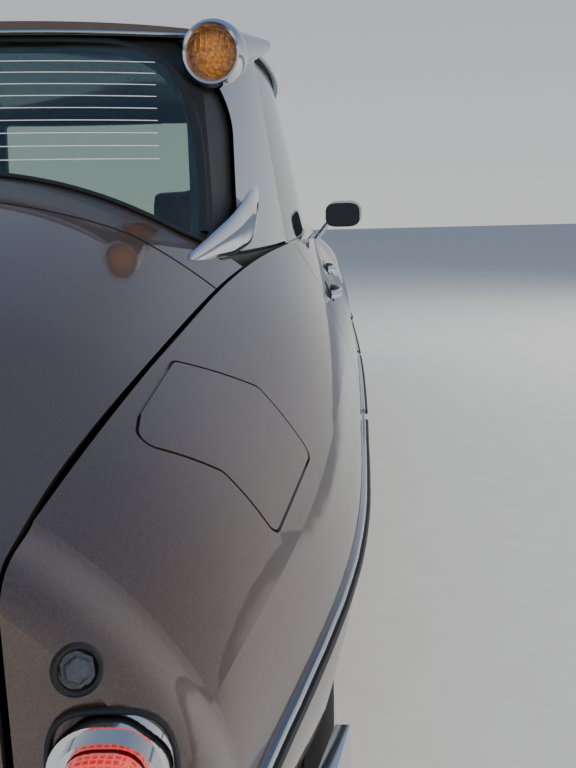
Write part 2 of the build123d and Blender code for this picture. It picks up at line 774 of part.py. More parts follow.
with BuildPart() as pillar_strip:
    add(layer(0, pillar_face - seat_gap, frame_low_z, glass_top_z + 8))
    with BuildSketch(Plane.XZ.offset(-1000)):
        with BuildLine():
            Polyline(
                (a_line(belt_z, shut_gap + 2), belt_z),
                (a_line(rail_z, shut_gap + 2), rail_z),
                (front_axle, rail_z),
                (front_axle, belt_z),
                close=True,
            )
        make_face()
    extrude(amount=1000, mode=Mode.INTERSECT)
    with BuildSketch(Plane.YZ.offset(front_axle - 1100)):
        add(screen_face(windscreen_cut, 1))
    extrude(amount=1000, mode=Mode.SUBTRACT)
    with BuildSketch(Plane.XY):
        Rectangle(6000, 860)
    extrude(amount=1500, mode=Mode.SUBTRACT)
write("pillar_strips", pillar_strip.part + mirrored(pillar_strip.part))

# Roof: one domed panel that rests on the frame
RoofRow = namedtuple("RoofRow", "x crown_z")
ROOF_ROWS = [
    RoofRow(front_axle - 787, 1414),
    RoofRow(front_axle - 1087, 1453),
    RoofRow(front_axle - 1437, 1468),
    RoofRow(rear_axle + 1038, 1462),
    RoofRow(rear_axle + 688, 1442),
    RoofRow(rear_axle + 388, 1414),
]
roof_half = 640
roof_edge_z = 1394


def dome(inset):
    with BuildPart() as shape:
        for row in ROOF_ROWS:
            with BuildSketch(Plane.YZ.offset(row.x)):
                with BuildLine():
                    ThreePointArc(
                        (-roof_half, roof_edge_z - inset),
                        (0, row.crown_z - inset),
                        (roof_half, roof_edge_z - inset),
                    )
                    Polyline(
                        (roof_half, roof_edge_z - inset),
                        (roof_half, 1200),
                        (-roof_half, 1200),
                        (-roof_half, roof_edge_z - inset),
                    )
                make_face()
        loft()
    return shape.part


with BuildPart() as roof_hollow:
    with BuildSketch(Plane.XY.offset(rail_z - 10)):
        with BuildLine():
            outline_wire(UPPER_ROWS[2], pillar_face + pillar_depth)
        make_face()
    extrude(amount=150)
    add(dome(roof_wall), mode=Mode.INTERSECT)

with BuildPart() as roof:
    with BuildSketch(Plane.XY.offset(rail_z)):
        with BuildLine():
            outline_wire(UPPER_ROWS[2], -roof_overlap)
        make_face()
    extrude(amount=150)
    add(dome(0), mode=Mode.INTERSECT)
    add(roof_hollow.part, mode=Mode.SUBTRACT)
write("roof", roof.part)

# Seats for the outer panels: the same side, set inside the wing skin
side_bed = side_block(wing_wall + seat_gap, 300)


def bracket(x_from, x_to, y_from, y_to, z_from, z_to):
    """A thick web that ends on the inside of the left wing."""
    with BuildPart() as web:
        add(side_bed)
        with BuildSketch(Plane.XY.offset(z_from)):
            with Locations((x_from, y_from)):
                Rectangle(x_to - x_from, y_to - y_from, align=(Align.MIN, Align.MIN))
        extrude(amount=z_to - z_from, mode=Mode.INTERSECT)
    return web.part


def seat_ring():
    """The raised step behind the glass that the pillar frame stands on."""
    with BuildPart() as ring:
        add(upper_seat)
        add(upper_block(62), mode=Mode.SUBTRACT)
        with BuildSketch(Plane.XY.offset(belt_z - 1)):
            Rectangle(6000, 3000)
        extrude(amount=ring_top_z - belt_z + 1, mode=Mode.INTERSECT)
    return ring.part


def base_ring(outer, inner, z_from, z_to):
    """The glasshouse base outline as a flat ring between two insets."""
    with BuildPart() as ring:
        with BuildSketch(Plane.XY.offset(z_from)):
            with BuildLine():
                outline_wire(UPPER_ROWS[0], outer)
            make_face()
        extrude(amount=z_to - z_from)
        with BuildSketch(Plane.XY.offset(z_from)):
            with BuildLine():
                outline_wire(UPPER_ROWS[0], inner)
            make_face()
        extrude(amount=z_to - z_from, mode=Mode.SUBTRACT)
    return ring.part


# Platform: floor, sills, posts, bulkheads, boot floor and front rails in one welded piece
floor_z = 190
floor_top = 210
sill_inner_y = 600
sill_outer_y = 715
sill_top = 300
post_inner_y = 596
firewall_x = front_axle - 577
bulkhead_x = rear_axle + 388
rail_inner_y = 380
rail_outer_y = 440
rail_low_z = 330
rail_top_z = 430
boot_floor_z = 330
boot_side_y = 515
panel = 18
ring_top_z = frame_low_z - seat_gap

boot_front_wall_x = bulkhead_x - panel - seat_gap
rails_rear_x = firewall_x + panel + seat_gap

with BuildPart() as rocker:
    add(door_outer)
    with BuildSketch(Plane.XY.offset(floor_z)):
        with Locations((door_rear_x + 20, sill_outer_y - 20)):
            Rectangle(door_front_x - door_rear_x - 26, 300, align=(Align.MIN, Align.MIN))
    extrude(amount=door_bottom_z - shut_gap - floor_z, mode=Mode.INTERSECT)

with BuildPart() as platform_left:
    add(slab(bulkhead_x, firewall_x, 0, sill_outer_y, floor_z, floor_top))
    add(slab(door_rear_x - 40, firewall_x, sill_inner_y, sill_outer_y, floor_z, sill_top))
    add(slab(firewall_x, firewall_x + panel, 0, 640, floor_z, 880 - seat_gap))
    add(lid_bearing(bonnet_pivot, bonnet_pivot[0] - 8, firewall_x + panel, 860, bonnet_pivot[2]))
    for z in hinge_heights:
        for hinge_x, hinge_y in ((front_hinge_x, front_hinge_y), (rear_hinge_x, rear_hinge_y)):
            with BuildSketch(Plane.XY.offset(z - hinge_lug_height / 2)):
                with Locations((hinge_x, hinge_y)):
                    Circle(hinge_lug_radius)
                    Rectangle(2 * hinge_lug_radius, 235, align=(Align.CENTER, Align.MAX))
                    Circle(hinge_pin_radius + running_gap, mode=Mode.SUBTRACT)
            extrude(amount=hinge_lug_height)
    add(slab(bulkhead_x - panel, bulkhead_x, 0, 590, floor_z, 885 - seat_gap))
    add(slab(door_front_x - 30, firewall_x, post_inner_y, 650, floor_z, 700))
    add(slab(door_front_x - 20, firewall_x, post_inner_y, 638, floor_z, 880 - seat_gap))
    add(slab(post_glass_x - 46, post_glass_x + 30, 640, 682, floor_z, 720))
    add(slab(post_glass_x - 30, post_glass_x + 30, 640, 682, floor_z, ring_top_z))
    add(slab(door_rear_x - 110, door_rear_x - 10, 590, 630, floor_z, 885 - seat_gap))
    add(slab(bulkhead_x - panel, door_rear_x - 110, 590, 608, floor_z, 885 - seat_gap))
    add(bracket(door_front_x + 36, door_front_x + 66, 620, 920, 190, 880 - seat_gap))
    add(bracket(door_rear_x - 90, door_rear_x - 60, 620, 880, 190, 885 - seat_gap))
    add(rocker.part)
    add(slab(bulkhead_x, firewall_x, sill_outer_y - 30, sill_outer_y, floor_z, 225))

with BuildPart() as platform:
    add(platform_left.part)
    add(mirrored(platform_left.part))
write("platform", platform.part)

# Rings round the bases of the screens: the scuttle in front, the parcel shelf behind
with BuildPart() as scuttle_ring:
    add(base_ring(12, 62, 880, belt_z))
    add(seat_ring())
    with BuildSketch(Plane.XY.offset(800)):
        with Locations((door_front_x - 20, 0)):
            Rectangle(600, 2 * 638, align=(Align.MIN, Align.CENTER))
    extrude(amount=300, mode=Mode.INTERSECT)

with BuildPart() as lid_way:
    add(base_ring(-5, 24, 880, belt_z + 1))
    with BuildSketch(Plane.XY.offset(880)):
        with Locations((boot_front_x + 50, 460), (boot_front_x + 50, -460)):
            Rectangle(500, 120, align=(Align.MAX, Align.CENTER))
    extrude(amount=100, mode=Mode.INTERSECT)

with BuildPart() as shelf_ring:
    add(base_ring(0, 62, 885, belt_z))
    add(seat_ring())
    with BuildSketch(Plane.XY.offset(885)):
        with BuildLine():
            outline_wire(UPPER_ROWS[0], 20)
        make_face()
    extrude(amount=20)
    with BuildSketch(Plane.XY.offset(800)):
        with Locations((door_rear_x - 10, 0)):
            Rectangle(1200, 2000, align=(Align.MAX, Align.CENTER))
    extrude(amount=300, mode=Mode.INTERSECT)
    with BuildSketch(Plane.XY.offset(800)):
        with Locations((bulkhead_x - 2, 0)):
            Rectangle(600, 1150, align=(Align.MIN, Align.CENTER))
    extrude(amount=300, mode=Mode.SUBTRACT)
    add(lid_way.part, mode=Mode.SUBTRACT)
    boot_bearing = lid_bearing(boot_pivot, boot_pivot[0], boot_pivot[0] + 40, 884, boot_pivot[2] + 4)
    add(boot_bearing)
    add(mirrored(boot_bearing))
write("scuttle_ring", scuttle_ring.part)
write("shelf_ring", shelf_ring.part)

# Boot tub and front subframe, bolted to the platform's two ends
with BuildPart() as boot_tub_left:
    add(slab(rear_axle - 792, boot_front_wall_x, 0, boot_side_y, boot_floor_z, boot_floor_z + panel))
    add(slab(rear_axle - 792, boot_front_wall_x, boot_side_y - panel, boot_side_y, boot_floor_z, 665))
    add(slab(rear_axle - 810, rear_axle - 792, 0, 430, boot_floor_z, 468))
    add(bracket(rear_axle - 792, rear_axle - 762, boot_side_y - panel, 700, 380, 665))
with BuildPart() as boot_tub:
    add(boot_tub_left.part)
    add(mirrored(boot_tub_left.part))
write("boot_tub", boot_tub.part)

with BuildPart() as subframe_left:
    add(slab(rails_rear_x, front_axle + 663, rail_inner_y, rail_outer_y, rail_low_z, rail_top_z))
    add(slab(front_axle + 603, front_axle + 663, 0, rail_outer_y, rail_low_z, rail_top_z))
    add(bracket(front_axle + 603, front_axle + 633, rail_inner_y, 860, rail_low_z, rail_top_z))
    add(slab(front_axle - 287, front_axle - 187, 230.3, rail_inner_y, 380, 430))
with BuildPart() as front_subframe:
    add(subframe_left.part)
    add(mirrored(subframe_left.part))
write("front_subframe", front_subframe.part)

# Engine as one plain block between the rails
with BuildPart() as engine:
    add(slab(front_axle - 487, front_axle + 263, -230, 230, 240, 770))
write("engine", engine.part)


# Wheels
def wheel(x, y):
    with BuildPart() as disc:
        with BuildSketch(Plane.XY):
            with BuildLine():
                Polyline(
                    (rim_radius - 1, -74), (206, -74), (206, -68.3), (rim_radius + 4, -68.3),
                    (rim_radius + 4, 68.3), (206, 68.3), (206, 74), (rim_radius - 1, 74),
                    (rim_radius - 1, 46), (152, 51.5), (152, 66), (100, 84), (0, 90), (0, 86),
                    (98, 80), (148, 63), (148, 52), (120, 56), (70, 46), (hub_bore_radius, 46),
                    (hub_bore_radius, 38), (70, 38), (120, 48), (rim_radius - 1, 38),
                    close=True,
                )
            make_face()
        revolve(axis=Axis.Y)
    return disc.part.moved(Location((x, y, tyre_radius)))


def tyre(x, y, width):
    bead = rim_radius + 4 + seat_gap
    half = width / 2
    with BuildPart() as ring:
        with BuildSketch(Plane.XY):
            with BuildLine():
                Polyline(
                    (bead, -68), (208, -68), (225, 6 - half), (270, -half), (308, 6 - half),
                    (tyre_radius, 24 - half), (tyre_radius, half - 24), (308, half - 6), (270, half),
                    (225, half - 6), (208, 68), (bead, 68), (bead, 56), (230, half - 18),
                    (270, half - tyre_wall), (300, half - 18), (317, half - 32), (317, 32 - half),
                    (300, 18 - half), (270, tyre_wall - half), (230, 18 - half), (bead, -56),
                    close=True,
                )
            make_face()
        revolve(axis=Axis.Y)
    return ring.part.moved(Location((x, y, tyre_radius)))


front_wheel = wheel(front_axle, front_track / 2)
rear_wheel = wheel(rear_axle, rear_track / 2)
front_tyre = tyre(front_axle, front_track / 2, front_tyre_width)
rear_tyre = tyre(rear_axle, rear_track / 2, rear_tyre_width)
write("front_wheel_left", front_wheel)
write("front_wheel_right", mirrored(front_wheel))
write("rear_wheel_left", rear_wheel)
write("rear_wheel_right", mirrored(rear_wheel))
write("front_tyre_left", front_tyre)
write("front_tyre_right", mirrored(front_tyre))
write("rear_tyre_left", rear_tyre)
write("rear_tyre_right", mirrored(rear_tyre))

# Steering knuckle inside the front wheel, and the arms that hold it
pin_radius = 14
pin_reach = 90
spindle_radius = hub_bore_radius - running_gap
with BuildPart() as knuckle:
    with BuildSketch(Plane.XY.offset(tyre_radius - pin_reach)):
        with Locations((front_axle, front_track / 2)):
            Circle(pin_radius)
    extrude(amount=2 * pin_reach)
    with BuildSketch(Plane.XY.offset(tyre_radius - pin_reach + 24)):
        with Locations((front_axle, front_track / 2)):
            Circle(24)
    extrude(amount=2 * pin_reach - 48)
    with BuildSketch(Plane.XZ.offset(-front_track / 2)):
        with Locations((front_axle, tyre_radius)):
            Circle(spindle_radius)
    extrude(amount=-64)
write("knuckle_left", knuckle.part)
write("knuckle_right", mirrored(knuckle.part))

arm_leg_y = rail_outer_y + seat_gap
with BuildPart() as front_arm:
    for eye_z in (tyre_radius - pin_reach, tyre_radius + pin_reach - 20):
        with BuildSketch(Plane.XY.offset(eye_z)):
            with Locations((front_axle, front_track / 2)):
                Circle(28)
            with Locations((front_axle, arm_leg_y)):
                Rectangle(44, front_track / 2 - arm_leg_y, align=(Align.CENTER, Align.MIN))
            with Locations((front_axle + 22, arm_leg_y)):
                Rectangle(400, 24, align=(Align.MAX, Align.MIN))
            with Locations((front_axle, front_track / 2)):
                Circle(pin_radius + running_gap, mode=Mode.SUBTRACT)
        extrude(amount=20)
    with BuildSketch(Plane.XY.offset(tyre_radius - pin_reach)):
        with Locations((front_axle - 378, arm_leg_y)):
            Rectangle(60, 24, align=(Align.MIN, Align.MIN))
    extrude(amount=2 * pin_reach)
write("front_arms", front_arm.part + mirrored(front_arm.part))

with BuildPart() as rear_arm:
    with BuildSketch(Plane.XZ.offset(-(boot_side_y + seat_gap))):
        with BuildLine():
            Polyline(
                (rear_axle - 40, tyre_radius - 45), (rear_axle + 350, tyre_radius - 30),
                (rear_axle + 350, tyre_radius + 30), (rear_axle - 40, tyre_radius + 45),
                close=True,
            )
        make_face()
    extrude(amount=-30)
    with BuildSketch(Plane.XZ.offset(-(boot_side_y + seat_gap))):
        with Locations((rear_axle, tyre_radius)):
            Circle(spindle_radius)
    extrude(amount=-(rear_track / 2 + 64 - boot_side_y - seat_gap))
write("rear_arms", rear_arm.part + mirrored(rear_arm.part))


# Bumpers: bowed blades that wrap round the corners
def blade(inner, outer, z_from, z_to):
    with BuildPart() as bar:
        with BuildSketch(Plane.XY.offset(z_from)):
            with BuildLine():
                for path in (inner, outer):
                    (mid_x, (x1, y1), (xa, ya), (x2, y2), (xb, yb), (x3, y3)) = path
                    ThreePointArc((x1, -y1), (mid_x, 0), (x1, y1))
                    for s in (-1, 1):
                        ThreePointArc((x1, s * y1), (xa, s * ya), (x2, s * y2))
                        ThreePointArc((x2, s * y2), (xb, s * yb), (x3, s * y3))
                for s in (-1, 1):
                    Line((inner[-1][0], s * inner[-1][1]), (outer[-1][0], s * outer[-1][1]))
            make_face()
        extrude(amount=z_to - z_from)
    return bar.part


front_inner = (nose_x - 36, (2399, 590), (2373, 707), (2300, 792), (2230, 832), (2150, 862))
front_outer = (nose_x, (2426, 590), (2393, 724), (2316, 812), (2240, 854), (2150, 880))
with BuildPart() as front_bumper:
    add(blade(front_inner, front_outer, 405, 485))
    for side in (-1, 1):
        y_from = side * 395 - 25
        add(slab(front_axle + 663 + seat_gap, nose_x - 30, y_from, y_from + 50, 405, 425))
write("front_bumper", front_bumper.part)
rear_inner = (tail_x + 24, (-2410, 500), (-2400, 598), (-2340, 647), (-2190, 688), (-2060, 722))
rear_outer = (tail_x, (-2432, 510), (-2420, 610), (-2354, 668), (-2200, 708), (-2060, 740))
with BuildPart() as rear_bumper:
    add(blade(rear_inner, rear_outer, 330, 412))
    for side in (-1, 1):
        y_from = side * 380 - 25
        add(slab(tail_x + 20, rear_axle - 810 - seat_gap, y_from, y_from + 50, 372, 396))
write("rear_bumper", rear_bumper.part)

# Towing eyes: one plate under each end, with a bore across the car
tow_bore_radius = 12
tow_eye_radius = 24
tow_plate = 12
tow_y = 300
tow_eye_z = 285
tow_seat_z = 370
tow_reach = 50


def tow_eye(seat_x, facing):
    eye_x = seat_x + facing * tow_reach
    with BuildPart() as eye:
        with BuildSketch(Plane.XZ.offset(-tow_y)):
            with Locations((eye_x, tow_eye_z)):
                Circle(tow_eye_radius)
            with Locations((seat_x + facing * tow_plate / 2, tow_seat_z)):
                Rectangle(tow_plate, 60)
            make_hull()
            with Locations((eye_x, tow_eye_z)):
                Circle(tow_bore_radius, mode=Mode.SUBTRACT)
        extrude(amount=-tow_plate)
    return eye.part


write("tow_eye_front", tow_eye(front_axle + 663 + seat_gap, 1))
write("tow_eye_rear", tow_eye(rear_axle - 810 - seat_gap, -1))

# Lamps
with BuildPart() as lamp_glass:
    add(side_block(2))
    add(side_block(2 + glass_wall, 300), mode=Mode.SUBTRACT)
    add(lamp_opening(-seat_gap, 700), mode=Mode.INTERSECT)
write("lamp_glasses", lamp_glass.part + mirrored(lamp_glass.part))

with BuildPart() as lamp_unit:
    add(bracket(lamp_plate_x - 12, lamp_plate_x, 498, 860, 470, 790))
    with BuildSketch(Plane.YZ.offset(lamp_plate_x)):
        with Locations((674, 628)):
            Circle(68)
    extrude(amount=85)
    with BuildSketch(Plane.YZ.offset(lamp_plate_x)):
        with Locations((545, 632)):
            Circle(48)
    extrude(amount=140)
write("headlamps", lamp_unit.part + mirrored(lamp_unit.part))

# Tail lamps: a round-cornered housing, a bright bezel and a lens, each smaller and further out
LampStep = namedtuple("LampStep", "half_width half_height corner depth")
LAMP_STEPS = [LampStep(50, 65, 44, 20), LampStep(42, 57, 36, 30), LampStep(34, 49, 28, 44)]
tail_lamp_y = 532
tail_lamp_z = 574
with BuildPart() as tail_lamp:
    for step in LAMP_STEPS:
        with BuildSketch(Plane.YZ.offset(rear_axle - 854 - seat_gap)):
            with Locations((tail_lamp_y, tail_lamp_z)):
                RectangleRounded(2 * step.half_width, 2 * step.half_height, step.corner)
        extrude(amount=-step.depth)
write("tail_lamps", tail_lamp.part + mirrored(tail_lamp.part))

# Indicators: trumpets at the roof's rear corners, cut to the glasshouse and the roof's edge
indicator_rear = (-1075, 512, 1348)
indicator_front = (-805, 610, 1402)
with BuildPart() as indicator:
    with BuildSketch(Plane(indicator_rear, x_dir=(0, 1, 0), z_dir=(1, 0.2, 0.06))):
        Circle(57)
    with BuildSketch(Plane(indicator_front, x_dir=(0, 1, 0), z_dir=(1, 0.2, 0.06))):
        Circle(16)
    loft()
    add(upper_block(-seat_gap), mode=Mode.SUBTRACT)
    with BuildSketch(Plane.XY.offset(rail_z - seat_gap)):
        with BuildLine():
            outline_wire(UPPER_ROWS[2], -roof_overlap - seat_gap)
        make_face()
    extrude(amount=150, mode=Mode.SUBTRACT)
write("indicators", indicator.part + mirrored(indicator.part))

# Door mirrors: a head on a stalk that stands on the door's shoulder
mirror_x = 728
mirror_y = 863
mirror_z = 985
with BuildPart() as door_mirror:
    with BuildSketch(Plane.YZ.offset(mirror_x - 18)):
        with Locations((mirror_y, mirror_z)):
            RectangleRounded(150, 104, 46)
    extrude(amount=14)
    with BuildSketch(Plane.YZ.offset(mirror_x - 4)):
        with Locations((mirror_y, mirror_z)):
            RectangleRounded(150, 104, 46)
    extrude(amount=34, taper=32)
    with BuildSketch(Plane((mirror_x + 4, mirror_y - 50, mirror_z - 20), z_dir=(0, -0.62, -0.78))):
        Circle(11)
    extrude(amount=120)
    add(side_loft(door_rows, -seat_gap, 300), mode=Mode.SUBTRACT)
write("mirror_left", door_mirror.part)
write("mirror_right", mirrored(door_mirror.part))

# Cabin fittings
with BuildPart() as dashboard:
    half = post_inner_y - seat_gap
    add(slab(firewall_x - 200, firewall_x - seat_gap, -half, half, 640, 810))
write("dashboard", dashboard.part)

wheel_x = firewall_x - 400
wheel_z = 800
wheel_y = 370
wheel_tilt = Location(Plane((wheel_x, wheel_y, wheel_z), x_dir=(0, 1, 0), z_dir=(-0.94, 0, 0.34)))
with BuildPart() as steering_wheel:
    with Locations(wheel_tilt):
        Torus(190, 13)
        Cylinder(22, 40)
    with Locations(wheel_tilt * Location((0, -95, 0))):
        Box(20, 190, 14)
    with BuildSketch(Plane.YZ.offset(wheel_x - 4)):
        with Locations((wheel_y, wheel_z - 40)):
            Circle(24)
    extrude(amount=204 - seat_gap)
write("steering_wheel", steering_wheel.part)


def front_seat(y):
    with BuildPart() as seat:
        with BuildSketch(Plane.XZ.offset(-y - 260)):
            with BuildLine():
                Polyline(
                    (560, floor_top + seat_gap), (580, 380), (80, 360), (-30, 900), (-20, 1060),
                    (-90, 1060), (-150, 900), (-110, 700), (-40, 300), (-20, floor_top + seat_gap),
                    close=True,
                )
            make_face()
        extrude(amount=520)
    return seat.part


seat_left = front_seat(340)
write("front_seats", seat_left + mirrored(seat_left))

with BuildPart() as rear_seat:
    with BuildSketch(Plane.XZ.offset(-560)):
        with BuildLine():
            Polyline(
                (-600, floor_top + seat_gap), (-580, 380), (-1020, 350), (-1100, 875),
                (bulkhead_x + seat_gap, 875), (bulkhead_x + seat_gap, floor_top + seat_gap),
                close=True,
            )
        make_face()
    extrude(amount=1120)
write("rear_seat", rear_seat.part)
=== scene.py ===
import math

import bmesh
import bpy
from mathutils import Matrix, Vector
from mathutils.bvhtree import BVHTree


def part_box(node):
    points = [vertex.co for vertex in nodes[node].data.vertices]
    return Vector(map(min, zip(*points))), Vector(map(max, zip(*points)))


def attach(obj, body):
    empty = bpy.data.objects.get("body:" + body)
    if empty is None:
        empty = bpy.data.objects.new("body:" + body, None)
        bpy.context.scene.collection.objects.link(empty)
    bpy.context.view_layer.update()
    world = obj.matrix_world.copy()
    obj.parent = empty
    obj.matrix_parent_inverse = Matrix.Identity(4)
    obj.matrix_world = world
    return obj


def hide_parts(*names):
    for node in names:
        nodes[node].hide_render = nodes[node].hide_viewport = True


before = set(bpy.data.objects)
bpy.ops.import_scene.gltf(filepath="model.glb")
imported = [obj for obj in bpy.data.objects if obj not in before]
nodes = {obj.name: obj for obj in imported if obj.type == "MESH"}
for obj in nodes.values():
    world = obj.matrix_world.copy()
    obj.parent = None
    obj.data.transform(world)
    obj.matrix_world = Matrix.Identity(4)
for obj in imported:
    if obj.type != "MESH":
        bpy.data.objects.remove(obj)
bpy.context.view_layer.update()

# The camera stands where a phone was held close behind the right rear corner, looking along the side.
# A short lens, tilted down, brings the tail near and runs the flank away to the mirror.
eye_place = Vector((-3.032, -0.696, 1.038))
eye_yaw = math.radians(1.26)
eye_down = math.radians(11.66)
eye_roll = math.radians(-1.42)
eye_lens = 41.4

eye = bpy.data.objects.new("eye", bpy.data.cameras.new("eye"))
eye.data.lens = eye_lens
eye.data.sensor_width = 36.0
eye.data.clip_start = 0.02
eye.data.clip_end = 200.0
level_reach = math.cos(eye_down)
look = Vector((math.cos(eye_yaw) * level_reach, math.sin(eye_yaw) * level_reach, -math.sin(eye_down)))
eye.rotation_mode = "QUATERNION"
eye.rotation_quaternion = look.to_track_quat("-Z", "Y") @ Matrix.Rotation(eye_roll, 3, "Z").to_quaternion()
eye.location = eye_place
bpy.context.scene.collection.objects.link(eye)
bpy.context.scene.camera = eye


# The studio: a pale plain floor and a soft sky of light, cooler overhead than at the horizon.
# Large lamps light the car but are hidden from glossy rays, so the long soft highlights on the paint and the
# bright metal come from the sky.
def linear(code):
    """An sRGB hex colour as linear red, green, blue and full alpha."""
    parts = [int(code[i : i + 2], 16) / 255 for i in (1, 3, 5)]
    return tuple(c / 12.92 if c <= 0.04045 else ((c + 0.055) / 1.055) ** 2.4 for c in parts) + (1.0,)


def add(tree, kind, settings=None, links=None):
    """Adds one node, sets its sockets or properties, and links named inputs to other outputs."""
    node = tree.nodes.new(kind)
    for key, value in (settings or {}).items():
        if isinstance(key, str) and hasattr(node, key) and key not in node.inputs:
            setattr(node, key, value)
        else:
            node.inputs[key].default_value = value
    for key, output in (links or {}).items():
        tree.links.new(output, node.inputs[key])
    return node


def surface(name):
    """A new material with an empty tree and its output."""
    material = bpy.data.materials.new(name)
    material.use_nodes = True
    material.node_tree.nodes.clear()
    return material, material.node_tree


def close_surface(tree, shader):
    add(tree, "ShaderNodeOutputMaterial", links={"Surface": shader.outputs[0]})


def coords(tree):
    """Places on the object, in metres."""
    return add(tree, "ShaderNodeTexCoord").outputs["Object"]


def per_mm(size_mm):
    """A pattern's scale where one cell is that many millimetres wide."""
    return 1000.0 / size_mm


world = bpy.data.worlds.new("soft_sky")
bpy.context.scene.world = world
world.use_nodes = True
sky = world.node_tree
sky.nodes.clear()
sky_way = add(sky, "ShaderNodeTexCoord")
sky_split = add(sky, "ShaderNodeSeparateXYZ", links={0: sky_way.outputs["Generated"]})
sky_ramp = add(sky, "ShaderNodeValToRGB", links={0: sky_split.outputs["Z"]})
sky_ramp.color_ramp.elements[0].position = 0.0
sky_ramp.color_ramp.elements[0].color = linear("#E9EAEA")
sky_ramp.color_ramp.elements[1].position = 0.75
sky_ramp.color_ramp.elements[1].color = linear("#7F9CC6")
sky_light = add(sky, "ShaderNodeBackground", {"Strength": 0.85}, {"Color": sky_ramp.outputs["Color"]})
add(sky, "ShaderNodeOutputWorld", links={"Surface": sky_light.outputs[0]})

floor_size = 60.0
floor_patch_mm = 1000 / 9
floor_mesh = bpy.data.meshes.new("studio_floor")
half = floor_size / 2
floor_corners = [(-half, -half, 0), (half, -half, 0), (half, half, 0), (-half, half, 0)]
floor_mesh.from_pydata(floor_corners, [], [(0, 1, 2, 3)])
floor = bpy.data.objects.new("studio_floor", floor_mesh)
bpy.context.scene.collection.objects.link(floor)
floor_paint, tree = surface("pale_floor_paint")
floor_speck = add(
    tree, "ShaderNodeTexNoise", {"Scale": per_mm(floor_patch_mm), "Detail": 6.0}, {"Vector": coords(tree)}
)
floor_tone = add(tree, "ShaderNodeValToRGB", links={0: floor_speck.outputs[0]})
floor_tone.color_ramp.elements[0].color = linear("#C9C3B8")
floor_tone.color_ramp.elements[1].color = linear("#D6D1C7")
close_surface(
    tree, add(tree, "ShaderNodeBsdfPrincipled", {"Roughness": 0.85}, {"Base Color": floor_tone.outputs[0]})
)
floor_mesh.materials.append(floor_paint)

# place, aim, size, watts
LAMPS = [
    ((-4.5, -5.5, 4.2), (-1.0, -0.5, 0.6), 3.0, 420),
    ((-2.5, 4.5, 5.0), (-0.5, 0.0, 0.8), 3.5, 260),
    ((4.0, -4.5, 4.5), (0.8, 0.0, 0.6), 3.0, 260),
]
for number, (place, aim, size, watts) in enumerate(LAMPS):
    lamp = bpy.data.lights.new(f"soft_lamp_{number}", "AREA")
    lamp.shape = "DISK"
    lamp.size = size
    lamp.energy = watts
    holder = bpy.data.objects.new(f"soft_lamp_{number}", lamp)
    holder.location = place
    holder.rotation_mode = "QUATERNION"
    holder.rotation_quaternion = (Vector(aim) - Vector(place)).to_track_quat("-Z", "Y")
    holder.visible_glossy = False
    bpy.context.scene.collection.objects.link(holder)


def finish_nodes(material, *names):
    """Gives a material to solids of the frame."""
    for name in names:
        slots = nodes[name].data.materials
        slots.clear()
        slots.append(material)


# The body is pressed steel sprayed with a brown metallic base coat under clear lacquer.
# Fine aluminium flakes sparkle in the base coat, and the lacquer above them mirrors the sky.
body_paint, tree = surface("metallic_brown_lacquer")
flake_size_mm = 1.2
flakes = add(tree, "ShaderNodeTexVoronoi", {"Scale": per_mm(flake_size_mm)}, {"Vector": coords(tree)})
flake_tone = add(
    tree,
    "ShaderNodeMapRange",
    {"From Min": 0.0, "From Max": 1.0, "To Min": 0.78, "To Max": 1.25},
    {"Value": flakes.outputs["Color"]},
)
paint_colour = add(tree, "ShaderNodeMix", {"data_type": "RGBA", "blend_type": "MULTIPLY", 0: 1.0})
paint_colour.inputs[6].default_value = linear("#5A4B44")
tree.links.new(flake_tone.outputs[0], paint_colour.inputs[7])
peel = add(tree, "ShaderNodeTexNoise", {"Scale": per_mm(14.0), "Detail": 1.0}, {"Vector": coords(tree)})
peel_bump = add(tree, "ShaderNodeBump", {"Strength": 0.02, "Distance": 0.0006}, {"Height": peel.outputs[0]})
close_surface(tree, add(
    tree, "ShaderNodeBsdfPrincipled",
    {"Metallic": 0.72, "Roughness": 0.33, "Coat Weight": 1.0, "Coat Roughness": 0.035, "Coat IOR": 1.5},
    {"Base Color": paint_colour.outputs[2], "Normal": peel_bump.outputs[0]},
))
PAINTED = [
    "front_wing_left", "front_wing_right", "rear_wing_left", "rear_wing_right", "bonnet", "boot_lid", "roof",
    "front_door_left", "front_door_right", "rear_door_left", "rear_door_right", "fuel_flap",
]
finish_nodes(body_paint, *PAINTED)

# The platform and pillar frame are welded steel in satin black chassis paint.
# Road dust lies on it in soft brown patches, so the black is broken and nowhere glossy.
dust_patch_mm = 1000 / 6
chassis_paint, tree = surface("satin_black_chassis_paint")
dust = add(
    tree, "ShaderNodeTexNoise", {"Scale": per_mm(dust_patch_mm), "Detail": 5.0}, {"Vector": coords(tree)}
)
dust_tone = add(tree, "ShaderNodeValToRGB", links={0: dust.outputs[0]})
dust_tone.color_ramp.elements[0].color = linear("#16161A")
dust_tone.color_ramp.elements[1].color = linear("#26241F")
close_surface(
    tree, add(tree, "ShaderNodeBsdfPrincipled", {"Roughness": 0.5}, {"Base Color": dust_tone.outputs[0]})
)
finish_nodes(
    chassis_paint,
    "platform",
    "scuttle_ring",
    "shelf_ring",
    "boot_tub",
    "front_subframe",
    "pillar_frame",
    "front_arms",
    "rear_arms",
    "knuckle_left",
    "knuckle_right",
    "tow_eye_front",
    "tow_eye_rear",
    "dashboard",
    "steering_wheel",
    "engine",
)


# The rear deck is pressed steel, strongly crowned from side to side between the two wings.
# Its front part is fixed under the rear window, and the lid behind it carries the tail panel.
def catch(*names):
    """The joined surface of some solids, to find where a trim piece sits on it."""
    points, faces = [], []
    for name in names:
        mesh = nodes[name].data
        start = len(points)
        points += [v.co.copy() for v in mesh.vertices]
        faces += [[start + i for i in face.vertices] for face in mesh.polygons]
    return BVHTree.FromPolygons(points, faces)


